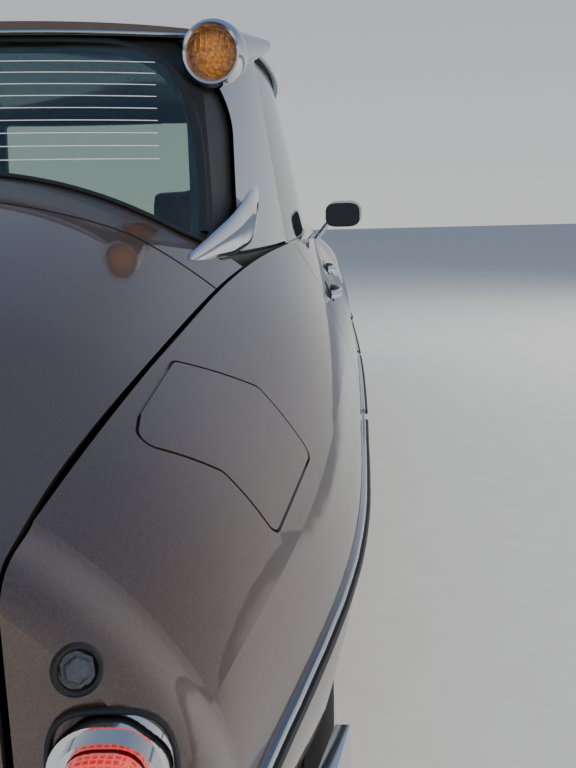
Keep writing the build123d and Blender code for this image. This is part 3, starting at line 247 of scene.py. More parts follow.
def make_piece(name, points, faces, material, body):
    """A smooth mesh piece that rides on a body of the car."""
    mesh = bpy.data.meshes.new(name)
    work = bmesh.new()
    corners = [work.verts.new(p) for p in points]
    for face in faces:
        work.faces.new([corners[i] for i in face])
    bmesh.ops.recalc_face_normals(work, faces=work.faces)
    work.to_mesh(mesh)
    work.free()
    mesh.materials.append(material)
    mesh.shade_smooth()
    mesh.set_sharp_from_angle(angle=math.radians(38))
    piece = bpy.data.objects.new(name, mesh)
    bpy.context.scene.collection.objects.link(piece)
    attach(piece, body)
    return piece


def thicken(piece, depth):
    """Gives a sheet piece its real thickness, inward from its face."""
    work = bmesh.new()
    work.from_mesh(piece.data)
    bmesh.ops.solidify(work, geom=work.faces[:], thickness=depth)
    bmesh.ops.recalc_face_normals(work, faces=work.faces)
    work.to_mesh(piece.data)
    work.free()
    piece.data.shade_smooth()
    piece.data.set_sharp_from_angle(angle=math.radians(38))
    return piece


def eased(table, x):
    """Reads a table of rows (x, a, b, ...) at x along smooth curves through the rows."""
    rows = sorted(table)
    at = max(0, min(len(rows) - 2, sum(1 for row in rows if row[0] <= x) - 1))
    low, high = rows[at], rows[at + 1]
    before, after = rows[max(at - 1, 0)], rows[min(at + 2, len(rows) - 1)]
    step = high[0] - low[0]
    t = (x - low[0]) / step
    found = []
    for k in range(1, len(low)):
        slope_low = (high[k] - before[k]) / (high[0] - before[0]) * step
        slope_high = (after[k] - low[k]) / (after[0] - low[0]) * step
        found.append(
            (2 * t**3 - 3 * t**2 + 1) * low[k] + (t**3 - 2 * t**2 + t) * slope_low
            + (3 * t**2 - 2 * t**3) * high[k] + (t**3 - t**2) * slope_high
        )
    return found


def from_behind(skin, y, z):
    """Where a level line from behind the car meets a surface, and which way that faces."""
    return skin.ray_cast(Vector((-3, y, z)), Vector((1, 0, 0)))[:2]


# x, half width, height at the wing, height in the middle
DECK_ROWS = [
    (-1.150, 0.612, 0.938, 1.118), (-1.250, 0.598, 0.931, 1.112), (-1.538, 0.549, 0.900, 1.086),
    (-1.950, 0.493, 0.840, 0.972), (-2.200, 0.455, 0.790, 0.866), (-2.350, 0.443, 0.754, 0.792),
    (-2.440, 0.441, 0.726, 0.752),
]
deck_fall = 2.4
deck_sheet = 0.010
lid_gap = 0.007
lid_bottom = 0.480
lid_edge_middle, lid_edge_bow, lid_edge_side = -1.655, 0.6, -1.556
window_base = catch("rear_window", "pillar_frame", "pillar_covers")


def deck_place(x, across):
    half, edge, middle = eased(DECK_ROWS, x)
    return Vector((x, across * half, middle - (middle - edge) * abs(across) ** deck_fall))


def lid_front(across):
    """X of the lid's front edge, bowed back in the middle."""
    y = across * 0.55
    return min(lid_edge_middle + lid_edge_bow * y * y, lid_edge_side)


lid_points, lid_faces = [], []
columns = [i / 24 for i in range(-24, 25)]
rows_along, rows_round, rows_down = 52, 8, 12
bend_length, bend_drop, bend_pull = 0.050, 0.062, 0.075
for across in columns:
    tail_x = -2.420 + 0.022 * across * across
    start_x, bend_x = lid_front(across), tail_x + bend_length
    for i in range(rows_along + 1):
        lid_points.append(deck_place(start_x + (bend_x - start_x) * i / rows_along, across))
    top = lid_points[-1]
    fall = (lid_points[-2].z - top.z) / (lid_points[-2].x - top.x)
    half = top.y
    for i in range(1, rows_round + 1):
        t = i / rows_round
        through, leave, arrive = 3 * t**2 - 2 * t**3, t**3 - 2 * t**2 + t, t**3 - t**2
        ease_x = through * (tail_x - top.x) + leave * -bend_pull
        ease_z = through * -bend_drop + leave * -bend_pull * fall + arrive * -bend_pull
        lid_points.append(Vector((top.x + ease_x, half, top.z + ease_z)))
    last = lid_points[-1]
    for i in range(1, rows_down + 1):
        lid_points.append(Vector((tail_x, half, last.z + (lid_bottom - last.z) * i / rows_down)))
per_column = rows_along + rows_round + rows_down + 1
for c in range(len(columns) - 1):
    for r in range(per_column - 1):
        a = c * per_column + r
        lid_faces.append((a, a + 1, a + per_column + 1, a + per_column))
crowned_lid = make_piece("crowned_boot_lid", lid_points, lid_faces, body_paint, "boot_lid")
thicken(crowned_lid, deck_sheet)
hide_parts("boot_lid")

base_points, base_faces, base_line = [], [], []
base_rows = 10
window_rubber = 0.006
least_panel = 0.020
first_guess, front_limit, front_unmet = -1.42, -1.30, -1.36
for across in columns:
    rear_x = lid_front(across) + lid_gap
    front = deck_place(first_guess, across)
    for _ in range(4):
        hit = from_behind(window_base, front.y, front.z)[0]
        met_x = max(hit.x - window_rubber, rear_x + least_panel) if hit else front_unmet
        front_x = min(met_x, front_limit)
        front = deck_place(front_x, across)
    base_line.append(front)
    for i in range(base_rows + 1):
        base_points.append(deck_place(rear_x + (front.x - rear_x) * i / base_rows, across))
for c in range(len(columns) - 1):
    for r in range(base_rows):
        a = c * (base_rows + 1) + r
        base_faces.append((a, a + 1, a + base_rows + 2, a + base_rows + 1))
window_panel = make_piece(
    "panel_under_rear_window", base_points, base_faces, body_paint, "body"
)
thicken(window_panel, deck_sheet)


# Black rubber holds the rear window, and a thin chrome-faced bead lies round the roof's edge.
# Both are drawn sections, pushed on. The rubber is dull and grained, the stainless bead faintly lined.
rubber, tree = surface("black_moulded_rubber")
rubber_grain = add(
    tree, "ShaderNodeTexNoise", {"Scale": per_mm(3.0), "Detail": 4.0}, {"Vector": coords(tree)}
)
rubber_tone = add(tree, "ShaderNodeValToRGB", links={0: rubber_grain.outputs[0]})
rubber_tone.color_ramp.elements[0].color = linear("#0E0E0F")
rubber_tone.color_ramp.elements[1].color = linear("#232323")
rubber_bump = add(
    tree, "ShaderNodeBump", {"Strength": 0.2, "Distance": 0.0004}, {"Height": rubber_grain.outputs[0]}
)
close_surface(tree, add(tree, "ShaderNodeBsdfPrincipled", {"Roughness": 0.55},
                        {"Base Color": rubber_tone.outputs[0], "Normal": rubber_bump.outputs[0]}))

stainless, tree = surface("polished_stainless_sheet")
steel_place = add(tree, "ShaderNodeMapping", {"Scale": (1.0, 12.0, 12.0)}, {"Vector": coords(tree)})
steel_lines = add(
    tree, "ShaderNodeTexNoise", {"Scale": per_mm(20.0), "Detail": 5.0}, {"Vector": steel_place.outputs[0]}
)
steel_rough = add(
    tree, "ShaderNodeMapRange", {"To Min": 0.08, "To Max": 0.2}, {"Value": steel_lines.outputs[0]}
)
steel_bump = add(
    tree, "ShaderNodeBump", {"Strength": 0.05, "Distance": 0.0002}, {"Height": steel_lines.outputs[0]}
)
close_surface(tree, add(tree, "ShaderNodeBsdfPrincipled", {"Base Color": linear("#C3C6CB"), "Metallic": 1.0},
                        {"Roughness": steel_rough.outputs[0], "Normal": steel_bump.outputs[0]}))


def band(start, stop, count):
    """Faces between two rings of points, by the number of each ring's first point."""
    return [(start + k, start + (k + 1) % count, stop + (k + 1) % count, stop + k) for k in range(count)]


def drawn(name, path, section, material, body, out=Vector((0, 0, 1)), ring=False):
    """A section of (sideways, outward) pairs in metres, carried along a path of points."""
    points, faces = [], []
    count, size = len(path), len(section)
    for i, place in enumerate(path):
        before = path[i - 1] if ring or i else path[0]
        after = path[(i + 1) % count] if ring or i < count - 1 else path[-1]
        along = (after - before).normalized()
        outward = out[i] if isinstance(out, list) else out
        outward = (outward - along * outward.dot(along)).normalized()
        side = along.cross(outward)
        points += [place + side * a + outward * b for a, b in section]
    for i in range(count if ring else count - 1):
        faces += band(i * size, ((i + 1) % count) * size, size)
    if not ring:
        faces += [tuple(range(size)), tuple(range((count - 1) * size, count * size))]
    return make_piece(name, points, faces, material, body)


def oval(wide, tall, steps=12, lift=0.0):
    """A rounded section by its half width and half height."""
    return [
        (wide * math.cos(2 * math.pi * k / steps), lift + tall * math.sin(2 * math.pi * k / steps))
        for k in range(steps)
    ]


drawn("rubber_under_rear_window", [p + Vector((0, 0, 0.003)) for p in base_line[2:-2]], oval(0.008, 0.006),
      rubber, "body")
window_side = [
    (0.508, 0.985), (0.503, 1.050), (0.495, 1.120), (0.484, 1.180), (0.468, 1.235), (0.445, 1.285),
    (0.412, 1.328), (0.366, 1.360), (0.300, 1.378), (0.200, 1.385), (0.100, 1.387),
]
edge_line = window_side + [(0.0, 1.387)] + [(-y, z) for y, z in reversed(window_side)]
edge_path = []
for y, z in edge_line:
    hit = from_behind(window_base, y, z)[0]
    if hit:
        edge_path.append(hit + Vector((-0.002, 0, 0)))
drawn(
    "rubber_round_rear_window",
    edge_path,
    oval(0.010, 0.006),
    rubber,
    "body",
    out=Vector((-1, 0, 0.3)),
)

roof_rim = catch("roof")
rim_path = []
for k in range(120):
    angle = 2 * math.pi * k / 120
    way = Vector((math.cos(angle), 0.75 * math.sin(angle), 0)).normalized()
    hit = roof_rim.ray_cast(Vector((-0.2, 0, 1.398)) + way * 3, -way)[0]
    if hit:
        rim_path.append(hit)
drawn("bright_bead_round_roof", rim_path, oval(0.005, 0.005), stainless, "body", ring=True)


# Bumpers and lamp housings are steel with bright chromium plate, a deep mirror with a faint haze.
# The pillar covers, trumpets and mirror shells are polished stainless sheet.
chrome, tree = surface("bright_chromium_plate")
chrome_haze = add(
    tree, "ShaderNodeTexNoise", {"Scale": per_mm(60.0), "Detail": 6.0}, {"Vector": coords(tree)}
)
chrome_rough = add(
    tree, "ShaderNodeMapRange", {"To Min": 0.03, "To Max": 0.12}, {"Value": chrome_haze.outputs[0]}
)
close_surface(tree, add(tree, "ShaderNodeBsdfPrincipled", {"Base Color": linear("#D9DBDF"), "Metallic": 1.0},
                        {"Roughness": chrome_rough.outputs[0]}))
finish_nodes(chrome, "front_bumper", "rear_bumper", "headlamps", "tail_lamps")
finish_nodes(stainless, "pillar_covers", "pillar_strips", "indicators", "mirror_left", "mirror_right")


# The windows are toughened safety glass with a slight green tint.
# A thin film of dust dulls its gloss in patches.
glass, tree = surface("tinted_safety_glass")
glass_film = add(
    tree, "ShaderNodeTexNoise", {"Scale": per_mm(120.0), "Detail": 4.0}, {"Vector": coords(tree)}
)
glass_rough = add(
    tree, "ShaderNodeMapRange", {"To Min": 0.0, "To Max": 0.03}, {"Value": glass_film.outputs[0]}
)
close_surface(tree, add(tree, "ShaderNodeBsdfPrincipled",
                        {"Base Color": linear("#C9D8D0"), "IOR": 1.45, "Transmission Weight": 1.0},
                        {"Roughness": glass_rough.outputs[0]}))
finish_nodes(glass, "windscreen", "rear_window", "front_glass_left", "front_glass_right", "rear_glass_left",
             "rear_glass_right", "lamp_glasses")


# The wheels are pressed steel in silver paint, seen round the edge of their covers.
# Fine aluminium flakes give it a soft grey sparkle.
wheel_paint, tree = surface("silver_wheel_paint")
wheel_flake = add(tree, "ShaderNodeTexVoronoi", {"Scale": per_mm(1.0)}, {"Vector": coords(tree)})
wheel_tone = add(tree, "ShaderNodeValToRGB", links={0: wheel_flake.outputs["Color"]})
wheel_tone.color_ramp.elements[0].color = linear("#9FA1A3")
wheel_tone.color_ramp.elements[1].color = linear("#C2C4C6")
close_surface(tree, add(tree, "ShaderNodeBsdfPrincipled", {"Metallic": 0.6, "Roughness": 0.35},
                        {"Base Color": wheel_tone.outputs[0]}))
finish_nodes(wheel_paint, "front_wheel_left", "front_wheel_right", "rear_wheel_left", "rear_wheel_right")


# Nine fine heating lines are printed in silver paste across the rear window and fired on.
# They look pale and dull against the dark glass.
heating_lines = 9
lowest_line, line_step = 1.125, 0.026
window_inside = catch("rear_window")
print_line, tree = surface("printed_heating_line")
line_grain = add(tree, "ShaderNodeTexNoise", {"Scale": per_mm(8.0)}, {"Vector": coords(tree)})
line_tone = add(tree, "ShaderNodeValToRGB", links={0: line_grain.outputs[0]})
line_tone.color_ramp.elements[0].color = linear("#B9BDB6")
line_tone.color_ramp.elements[1].color = linear("#E2E4DE")
close_surface(
    tree, add(tree, "ShaderNodeBsdfPrincipled", {"Roughness": 0.5}, {"Base Color": line_tone.outputs[0]})
)
for row in range(heating_lines):
    z = lowest_line + line_step * row
    path = []
    for k in range(-20, 21):
        y = k / 20 * (0.42 - 0.004 * row)
        hit = from_behind(window_inside, y, z)[0]
        if hit:
            path.append(hit + Vector((-0.0008, 0, 0)))
    drawn(f"heating_line_{row}", path, [(-0.0009, 0), (0.0009, 0), (0.0009, 0.0005), (-0.0009, 0.0005)],
          print_line, "body", out=Vector((-1, 0, 0.8)))


# A cast foot, chromium plated, ends each pillar cover and lies over the corner of the deck.
# It tapers to a blunt point and hides the joint of the deck, the wing and the cover.
# x, y, z, half height, half thickness
FOOT_ROWS = [
    (-1.508, 0.4965, 0.9390, 0.005, 0.003), (-1.500, 0.4985, 0.9410, 0.012, 0.006),
    (-1.475, 0.5060, 0.9450, 0.018, 0.009), (-1.400, 0.5330, 0.9620, 0.028, 0.012),
    (-1.330, 0.5570, 0.9760, 0.040, 0.013), (-1.270, 0.5720, 0.9900, 0.050, 0.013),
    (-1.215, 0.5850, 1.0050, 0.058, 0.012), (-1.150, 0.5930, 1.0150, 0.062, 0.008),
]
for side, hand in ((1, "left"), (-1, "right")):
    points, faces = [], []
    steps, turn = 28, 20
    for i in range(steps + 1):
        x = FOOT_ROWS[0][0] + (FOOT_ROWS[-1][0] - FOOT_ROWS[0][0]) * i / steps
        y, z, tall, thick = eased(FOOT_ROWS, x)
        for k in range(turn):
            angle = 2 * math.pi * k / turn
            rise = math.sin(angle)
            points.append(
                Vector((x, side * (y + thick * math.cos(angle) + 0.10 * tall * rise), z + tall * rise))
            )
    for i in range(steps):
        faces += band(i * turn, (i + 1) * turn, turn)
    faces += [tuple(range(turn)), tuple(range(steps * turn, (steps + 1) * turn))]
    make_piece(f"pillar_foot_{hand}", points, faces, chrome, "body")


# Each roof-level indicator is a stainless trumpet with a plated bezel pressed over its lens.
# The lens is amber acrylic, moulded in small cells and upright ribs that break up its glow.
amber, tree = surface("amber_moulded_lens")
amber_cells = add(tree, "ShaderNodeTexVoronoi", {"Scale": per_mm(7.0)}, {"Vector": coords(tree)})
amber_tone = add(tree, "ShaderNodeValToRGB", links={0: amber_cells.outputs["Distance"]})
amber_tone.color_ramp.elements[0].color = linear("#E89A2C")
amber_tone.color_ramp.elements[1].color = linear("#8A4208")
amber_bump = add(
    tree,
    "ShaderNodeBump",
    {"Strength": 0.8, "Distance": 0.002},
    {"Height": amber_cells.outputs["Distance"]},
)
close_surface(tree, add(tree, "ShaderNodeBsdfPrincipled", {"Roughness": 0.15, "Coat Weight": 1.0},
                        {"Base Color": amber_tone.outputs[0], "Normal": amber_bump.outputs[0]}))


def turned(name, outline, place, way, material, body, steps=64, ring=False):
    """An outline of (radius, height) pairs turned round a line through a place."""
    turn = way.normalized().to_track_quat("Z", "X").to_matrix()
    points, faces = [], []
    for radius, height in outline:
        for k in range(steps):
            angle = 2 * math.pi * k / steps
            points.append(place + turn @ Vector((radius * math.cos(angle), radius * math.sin(angle), height)))
    for i in range(len(outline) - 1):
        faces += band(i * steps, (i + 1) * steps, steps)
    if ring:
        faces += band((len(outline) - 1) * steps, 0, steps)
    else:
        faces += [tuple(range(steps)), tuple(range((len(outline) - 1) * steps, len(outline) * steps))]
    return make_piece(name, points, faces, material, body)


for side, hand in ((1, "left"), (-1, "right")):
    rear = Vector((-1.078, side * 0.514, 1.346))
    way = Vector((-1.0, side * -0.2, -0.06))
    turned(
        f"indicator_bezel_{hand}",
        [
            (0.0500, -0.010),
            (0.0500, 0.002),
            (0.0520, 0.012),
            (0.0560, 0.019),
            (0.0610, 0.021),
            (0.0660, 0.017),
            (0.0690, 0.006),
            (0.0690, -0.014),
            (0.0640, -0.045),
            (0.0570, -0.060),
            (0.0520, -0.060),
            (0.0520, -0.020),
        ],
        rear,
        way,
        chrome,
        "body",
        ring=True,
    )
    turned(
        f"indicator_lens_{hand}",
        [
            (0.0002, 0.0080),
            (0.015, 0.0074),
            (0.030, 0.0056),
            (0.042, 0.0028),
            (0.0495, -0.001),
            (0.0495, -0.006),
            (0.0002, -0.006),
        ],
        rear,
        way,
        amber,
        "body",
    )
    for rib in range(-3, 4):
        y = rib * 0.0125
        reach = math.sqrt(0.047**2 - y * y)
        across = way.cross(Vector((0, 0, 1))).normalized()
        up = across.cross(way).normalized()
        path = []
        for k in range(7):
            rise = up * (0.006 + (reach - 0.008) * k / 6)
            path.append(rear + across * y + rise + way.normalized() * (0.0085 - 0.0007 * k))
        drawn(
            f"indicator_lens_rib_{hand}_{rib + 3}",
            path,
            oval(0.0022, 0.0018),
            amber,
            "body",
            out=way,
        )


# Each tail lamp is a plated housing with a lens moulded in red acrylic, set in a rubber seal.
# Small honeycomb cells in the lens throw light back. That bright net is painted into the colour as a
# highlight along the cell edges, and a faint painted glow is added to the lens.
red_lens_with_painted_light, tree = surface("red_honeycomb_lens_painted_net_and_glow")
red_cells = add(
    tree,
    "ShaderNodeTexVoronoi",
    {"feature": "DISTANCE_TO_EDGE", "Scale": per_mm(6.0), "Randomness": 0.15},
    {"Vector": coords(tree)},
)
# Painted highlight: the cell edges are coloured bright red-orange as a net of light thrown back, and the cell
# insides are deep red.
red_tone_with_painted_net = add(tree, "ShaderNodeValToRGB", links={0: red_cells.outputs["Distance"]})
red_tone_with_painted_net.color_ramp.elements[0].color = linear("#FF5A45")
red_tone_with_painted_net.color_ramp.elements[1].position = 0.25
red_tone_with_painted_net.color_ramp.elements[1].color = linear("#C00E0C")
red_bump = add(
    tree, "ShaderNodeBump", {"Strength": 0.7, "Distance": 0.0015}, {"Height": red_cells.outputs["Distance"]}
)
# The faint emission is a painted glow on the lens, standing in for light caught in it.
close_surface(tree, add(
    tree, "ShaderNodeBsdfPrincipled", {"Roughness": 0.12, "Coat Weight": 1.0, "Emission Strength": 0.12,
                                       "Emission Color": linear("#FF2A18")},
    {"Base Color": red_tone_with_painted_net.outputs[0], "Normal": red_bump.outputs[0]},
))


def rounded_square(wide, tall, power, steps=48):
    """Points round a square with full, rounded corners, by its half width and half height."""
    found = []
    for k in range(steps):
        angle = 2 * math.pi * k / steps
        c, s = math.cos(angle), math.sin(angle)
        reach = (abs(c) ** power + abs(s) ** power) ** (-1 / power)
        found.append((wide * reach * c, tall * reach * s))
    return found


lamp_y, lamp_z = 0.532, 0.574
lens_extra_height = 0.0155
# half width, x
LENS_ROWS = [(0.0352, -2.4250), (0.0352, -2.4372), (0.0330, -2.4400), (0.0250, -2.4425), (0.0120, -2.4435)]
for side, hand in ((1, "left"), (-1, "right")):
    points, faces = [], []
    turn = 48
    for half, x in LENS_ROWS:
        for y, z in rounded_square(half, half + lens_extra_height, 3.2):
            points.append(Vector((x, side * lamp_y + y, lamp_z + z)))
    for i in range(len(LENS_ROWS) - 1):
        faces += band(i * turn, (i + 1) * turn, turn)
    faces.append(tuple(range((len(LENS_ROWS) - 1) * turn, len(LENS_ROWS) * turn)))
    make_piece(f"tail_lamp_lens_{hand}", points, faces, red_lens_with_painted_light, "body")
    seal = [
        Vector((-2.3955, side * lamp_y + y, lamp_z + z)) for y, z in rounded_square(0.0535, 0.0685, 3.5)
    ]
    drawn(
        f"tail_lamp_seal_{hand}",
        seal,
        oval(0.0028, 0.0035),
        rubber,
        "body",
        out=Vector((-1, 0, 0)),
        ring=True,
    )


# One hexagon-headed bolt holds each rear wing, in a rubber cup set into the metal.
# Its plating has dulled to a dark, worn grey.
bolt_steel, tree = surface("dulled_bolt_steel")
bolt_wear = add(tree, "ShaderNodeTexNoise", {"Scale": per_mm(4.0), "Detail": 5.0}, {"Vector": coords(tree)})
bolt_tone = add(tree, "ShaderNodeValToRGB", links={0: bolt_wear.outputs[0]})
bolt_tone.color_ramp.elements[0].color = linear("#3C3E42")
bolt_tone.color_ramp.elements[1].color = linear("#74777C")
close_surface(tree, add(tree, "ShaderNodeBsdfPrincipled", {"Metallic": 0.8, "Roughness": 0.35},
                        {"Base Color": bolt_tone.outputs[0]}))
for side, hand in ((1, "left"), (-1, "right")):
    wing = catch(f"rear_wing_{hand}")
    seat, facing = from_behind(wing, side * 0.508, 0.676)
    facing = facing if facing.x < 0 else -facing
    turned(
        f"wing_bolt_cup_{hand}",
        [
            (0.0150, 0.0010),
            (0.0165, 0.0035),
            (0.0190, 0.0040),
            (0.0210, 0.0020),
            (0.0215, -0.001),
            (0.0150, -0.001),
        ],
        seat,
        facing,
        rubber,
        "body",
        ring=True,
    )
    turned(
        f"wing_bolt_head_{hand}",
        [
            (0.0002, 0.0075),
            (0.0095, 0.0072),
            (0.0112, 0.0055),
            (0.0112, 0.0010),
            (0.0150, 0.0008),
            (0.0150, -0.001),
            (0.0002, -0.001),
        ],
        seat,
        facing,
        bolt_steel,
        "body",
        steps=6,
    )


# A black rubber strip in a bright channel guards the widest line of each side.
# It is cut at every panel gap and ends at the front wheel arch.
def from_side(skin, side, x, z):
    """Where a level line from one side of the car meets a surface, and which way that faces."""
    return skin.ray_cast(Vector((x, side * 2, z)), Vector((0, -side, 0)))[:2]


# panel, what carries it, first and last x
GUARD_PANELS = [
    ("front_wing", "body", 0.945, 2.020), ("front_door", "front_door", 0.875, 0.030),
    ("rear_door", "rear_door", -0.010, -0.860), ("rear_wing", "body", -0.905, -2.300),
]
arch_step = 0.020
# x, height
GUARD_HEIGHTS = [
    (-2.320, 0.452), (-2.150, 0.470), (-1.950, 0.492), (-1.700, 0.505), (-1.400, 0.508), (2.100, 0.508)
]
channel = [
    (-0.013, -0.002), (0.013, -0.002), (0.013, 0.004), (0.009, 0.007), (-0.009, 0.007), (-0.013, 0.004)
]
insert = [(-0.0065, 0.005), (0.0065, 0.005), (0.0060, 0.011), (0.0, 0.013), (-0.0060, 0.011)]
for side, hand in ((1, "left"), (-1, "right")):
    for panel, carrier, x_from, x_to in GUARD_PANELS:
        skin = catch(f"{panel}_{hand}")
        body = carrier if carrier == "body" else f"{carrier}_{hand}"
        path, out = [], []
        for k in range(41):
            x = x_from + (x_to - x_from) * k / 40
            z = eased(GUARD_HEIGHTS, x)[0]
            hit, facing = from_side(skin, side, x, z)
            if path and (not hit or abs(hit.y - path[-1].y) > arch_step):
                break
            if hit:
                path.append(hit)
                out.append(facing if facing.y * side > 0 else -facing)
        if len(path) > 3:
            drawn(f"guard_channel_{panel}_{hand}", path, channel, stainless, body, out=out)
            drawn(f"guard_rubber_{panel}_{hand}", path[1:-1], insert, rubber, body, out=out[1:-1])


# A bright strip caps the door tops below the glass, and plated pull handles sit in the doors.
# Each handle is a bowed bar with a dark rubber cup behind it for the fingers.
belt_height, handle_height = 0.930, 0.800
handle_length = 0.170
for side, hand in ((1, "left"), (-1, "right")):
    for door, x_from, x_to, grip in (
        ("front_door", 0.880, 0.035, 0.213), ("rear_door", -0.020, -0.700, -0.661)
    ):
        skin = catch(f"{door}_{hand}")
        path = []
        for k in range(31):
            x = x_from + (x_to - x_from) * k / 30
            hit = from_side(skin, side, x, belt_height)[0]
            if hit:
                path.append(hit + Vector((0, 0, 0.006)))
        drawn(f"belt_strip_{door}_{hand}", path, oval(0.006, 0.004), stainless, f"{door}_{hand}",
              out=Vector((0, side, 0.4)))
        bar = []
        for k in range(15):
            t = k / 14
            x = grip + handle_length / 2 - handle_length * t
            hit = from_side(skin, side, x, handle_height)[0]
            bar.append(hit + Vector((0, side * (0.004 + 0.026 * math.sin(math.pi * t) ** 0.5), 0)))
        drawn(f"pull_handle_{door}_{hand}", bar, oval(0.011, 0.005), chrome, f"{door}_{hand}",
              out=Vector((0, side, 0)))
        hit, facing = from_side(skin, side, grip, handle_height)
        facing = facing if facing.y * side > 0 else -facing
        turned(
            f"handle_cup_{door}_{hand}",
            [(0.0300, -0.0005), (0.0300, 0.0012), (0.0270, 0.0020), (0.0002, 0.0006)],
            hit,
            facing,
            rubber,
            f"{door}_{hand}",
        )


# Each door mirror is a thin polished shell with a silvered glass let into its back.
# Seen from behind, the glass is a dark, sharp mirror inside a bright rim; that darkness is a painted
# reflection set in its base colour, not the silver's own tone.
mirror_painted_dark, tree = surface("mirror_glass_painted_dark_reflection")
mirror_film = add(
    tree, "ShaderNodeTexNoise", {"Scale": per_mm(90.0), "Detail": 3.0}, {"Vector": coords(tree)}
)
mirror_rough = add(
    tree, "ShaderNodeMapRange", {"To Min": 0.01, "To Max": 0.05}, {"Value": mirror_film.outputs[0]}
)
# Painted reflection: the dark grey base colour stands in for the dark view mirrored in the glass.
close_surface(tree, add(tree, "ShaderNodeBsdfPrincipled", {"Base Color": linear("#34373C"), "Metallic": 1.0},
                        {"Roughness": mirror_rough.outputs[0]}))
for side, hand in ((1, "left"), (-1, "right")):
    points = []
    turn = 48
    low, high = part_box(f"mirror_{hand}")
    middle_y, middle_z = side * 0.858, high[2] - 0.058
    faces = [tuple(range(turn)), tuple(range(turn, 2 * turn))]
    for x in (low[0] - 0.0015, low[0] + 0.001):
        for y, z in rounded_square(0.071, 0.049, 3.6):
            points.append(Vector((x, middle_y + y, middle_z + z)))
    faces += band(0, turn, turn)
    make_piece(f"mirror_glass_{hand}", points, faces, mirror_painted_dark, f"front_door_{hand}")


# Pressed stainless covers clip over the wheels, and the tyres are ribbed radials on narrow rims.
# The rubber is matt and finely grained, with straight grooves round the tread.
tread, tree = surface("ribbed_tyre_rubber")
tread_grain = add(tree, "ShaderNodeTexNoise", {"Scale": per_mm(2.5), "Detail": 5.0}, {"Vector": coords(tree)})
tread_tone = add(tree, "ShaderNodeValToRGB", links={0: tread_grain.outputs[0]})
tread_tone.color_ramp.elements[0].color = linear("#131314")
tread_tone.color_ramp.elements[1].color = linear("#2B2A29")
tread_bump = add(
    tree, "ShaderNodeBump", {"Strength": 0.3, "Distance": 0.0005}, {"Height": tread_grain.outputs[0]}
)
close_surface(tree, add(tree, "ShaderNodeBsdfPrincipled", {"Roughness": 0.8},
                        {"Base Color": tread_tone.outputs[0], "Normal": tread_bump.outputs[0]}))
for end, half, track in (("front", 0.090, 0.75), ("rear", 0.0775, 0.65)):
    for side, hand in ((1, "left"), (-1, "right")):
        low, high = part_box(f"{end}_tyre_{hand}")
        hub = Vector(((low[0] + high[0]) / 2, side * track, 0.330))
        crown = half - 0.024
        wall = [
            (0.1960, crown),
            (0.2080, half - 0.012),
            (0.2300, half - 0.004),
            (0.2700, half),
            (0.3000, half - 0.003),
            (0.3180, half - 0.012),
            (0.3265, crown + 0.003),
        ]
        ribs = []
        for k in range(5):
            start = crown - 0.003 - k * (2 * crown - 0.006) / 5
            stop = start - (2 * crown - 0.006) / 5
            ribs += [
                (0.3295, start), (0.3295, stop + 0.0050), (0.3225, stop + 0.0042), (0.3225, stop + 0.0008)
            ]
        outline = wall + ribs[:-2] + [(r, -w) for r, w in reversed(wall)]
        outline += [(0.1960, -crown), (0.2000, -crown + 0.012), (0.2000, crown - 0.012)]
        tyre = turned(f"treaded_{end}_tyre_{hand}", outline, hub, Vector((0, 1, 0)), tread,
                      f"{end}_wheel_{hand}", steps=144, ring=True)
        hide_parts(f"{end}_tyre_{hand}")
        turned(
            f"wheel_cover_{end}_{hand}",
            [
                (0.0002, 0.0990),
                (0.020, 0.0985),
                (0.045, 0.0950),
                (0.060, 0.0900),
                (0.072, 0.0915),
                (0.105, 0.0880),
                (0.140, 0.0780),
                (0.165, 0.0650),
                (0.172, 0.0665),
                (0.180, 0.0640),
                (0.182, 0.0580),
                (0.170, 0.0570),
                (0.140, 0.0720),
                (0.100, 0.0860),
                (0.0002, 0.0930),
            ],
            hub,
            Vector((0, side, 0)),
            stainless,
            f"{end}_wheel_{hand}",
            steps=96,
        )


# The seats are deep foam pads in ribbed brown velour, sewn into channels, on a hidden frame.
# Each pad is swelled as stuffed cloth from a slightly smaller block, and the channels are sewn after.
velour, tree = surface("brown_ribbed_velour")
weave = add(tree, "ShaderNodeTexVoronoi", {"Scale": per_mm(2.2)}, {"Vector": coords(tree)})
nap = add(tree, "ShaderNodeTexNoise", {"Scale": per_mm(70.0), "Detail": 5.0}, {"Vector": coords(tree)})
velour_tone = add(tree, "ShaderNodeValToRGB", links={0: nap.outputs[0]})
velour_tone.color_ramp.elements[0].position = 0.35
velour_tone.color_ramp.elements[0].color = linear("#3A2C20")
velour_tone.color_ramp.elements[1].position = 0.65
velour_tone.color_ramp.elements[1].color = linear("#5B4735")
velour_bump = add(
    tree, "ShaderNodeBump", {"Strength": 0.6, "Distance": 0.0008}, {"Height": weave.outputs["Distance"]}
)
close_surface(
    tree,
    add(
        tree,
        "ShaderNodeBsdfPrincipled",
        {"Roughness": 0.95, "Sheen Weight": 0.6, "Sheen Roughness": 0.4},
        {"Base Color": velour_tone.outputs[0], "Normal": velour_bump.outputs[0]},
    ),
)
seat_voxel = 0.010
swell_cap = 0.016
swell_frames = 20
channel_depth, channel_width = 0.007, 0.006


def applied(piece):
    """Replaces a piece's mesh by what its modifiers make of it."""
    shape = bpy.data.meshes.new_from_object(piece.evaluated_get(bpy.context.evaluated_depsgraph_get()))
    piece.modifiers.clear()
    piece.data = shape


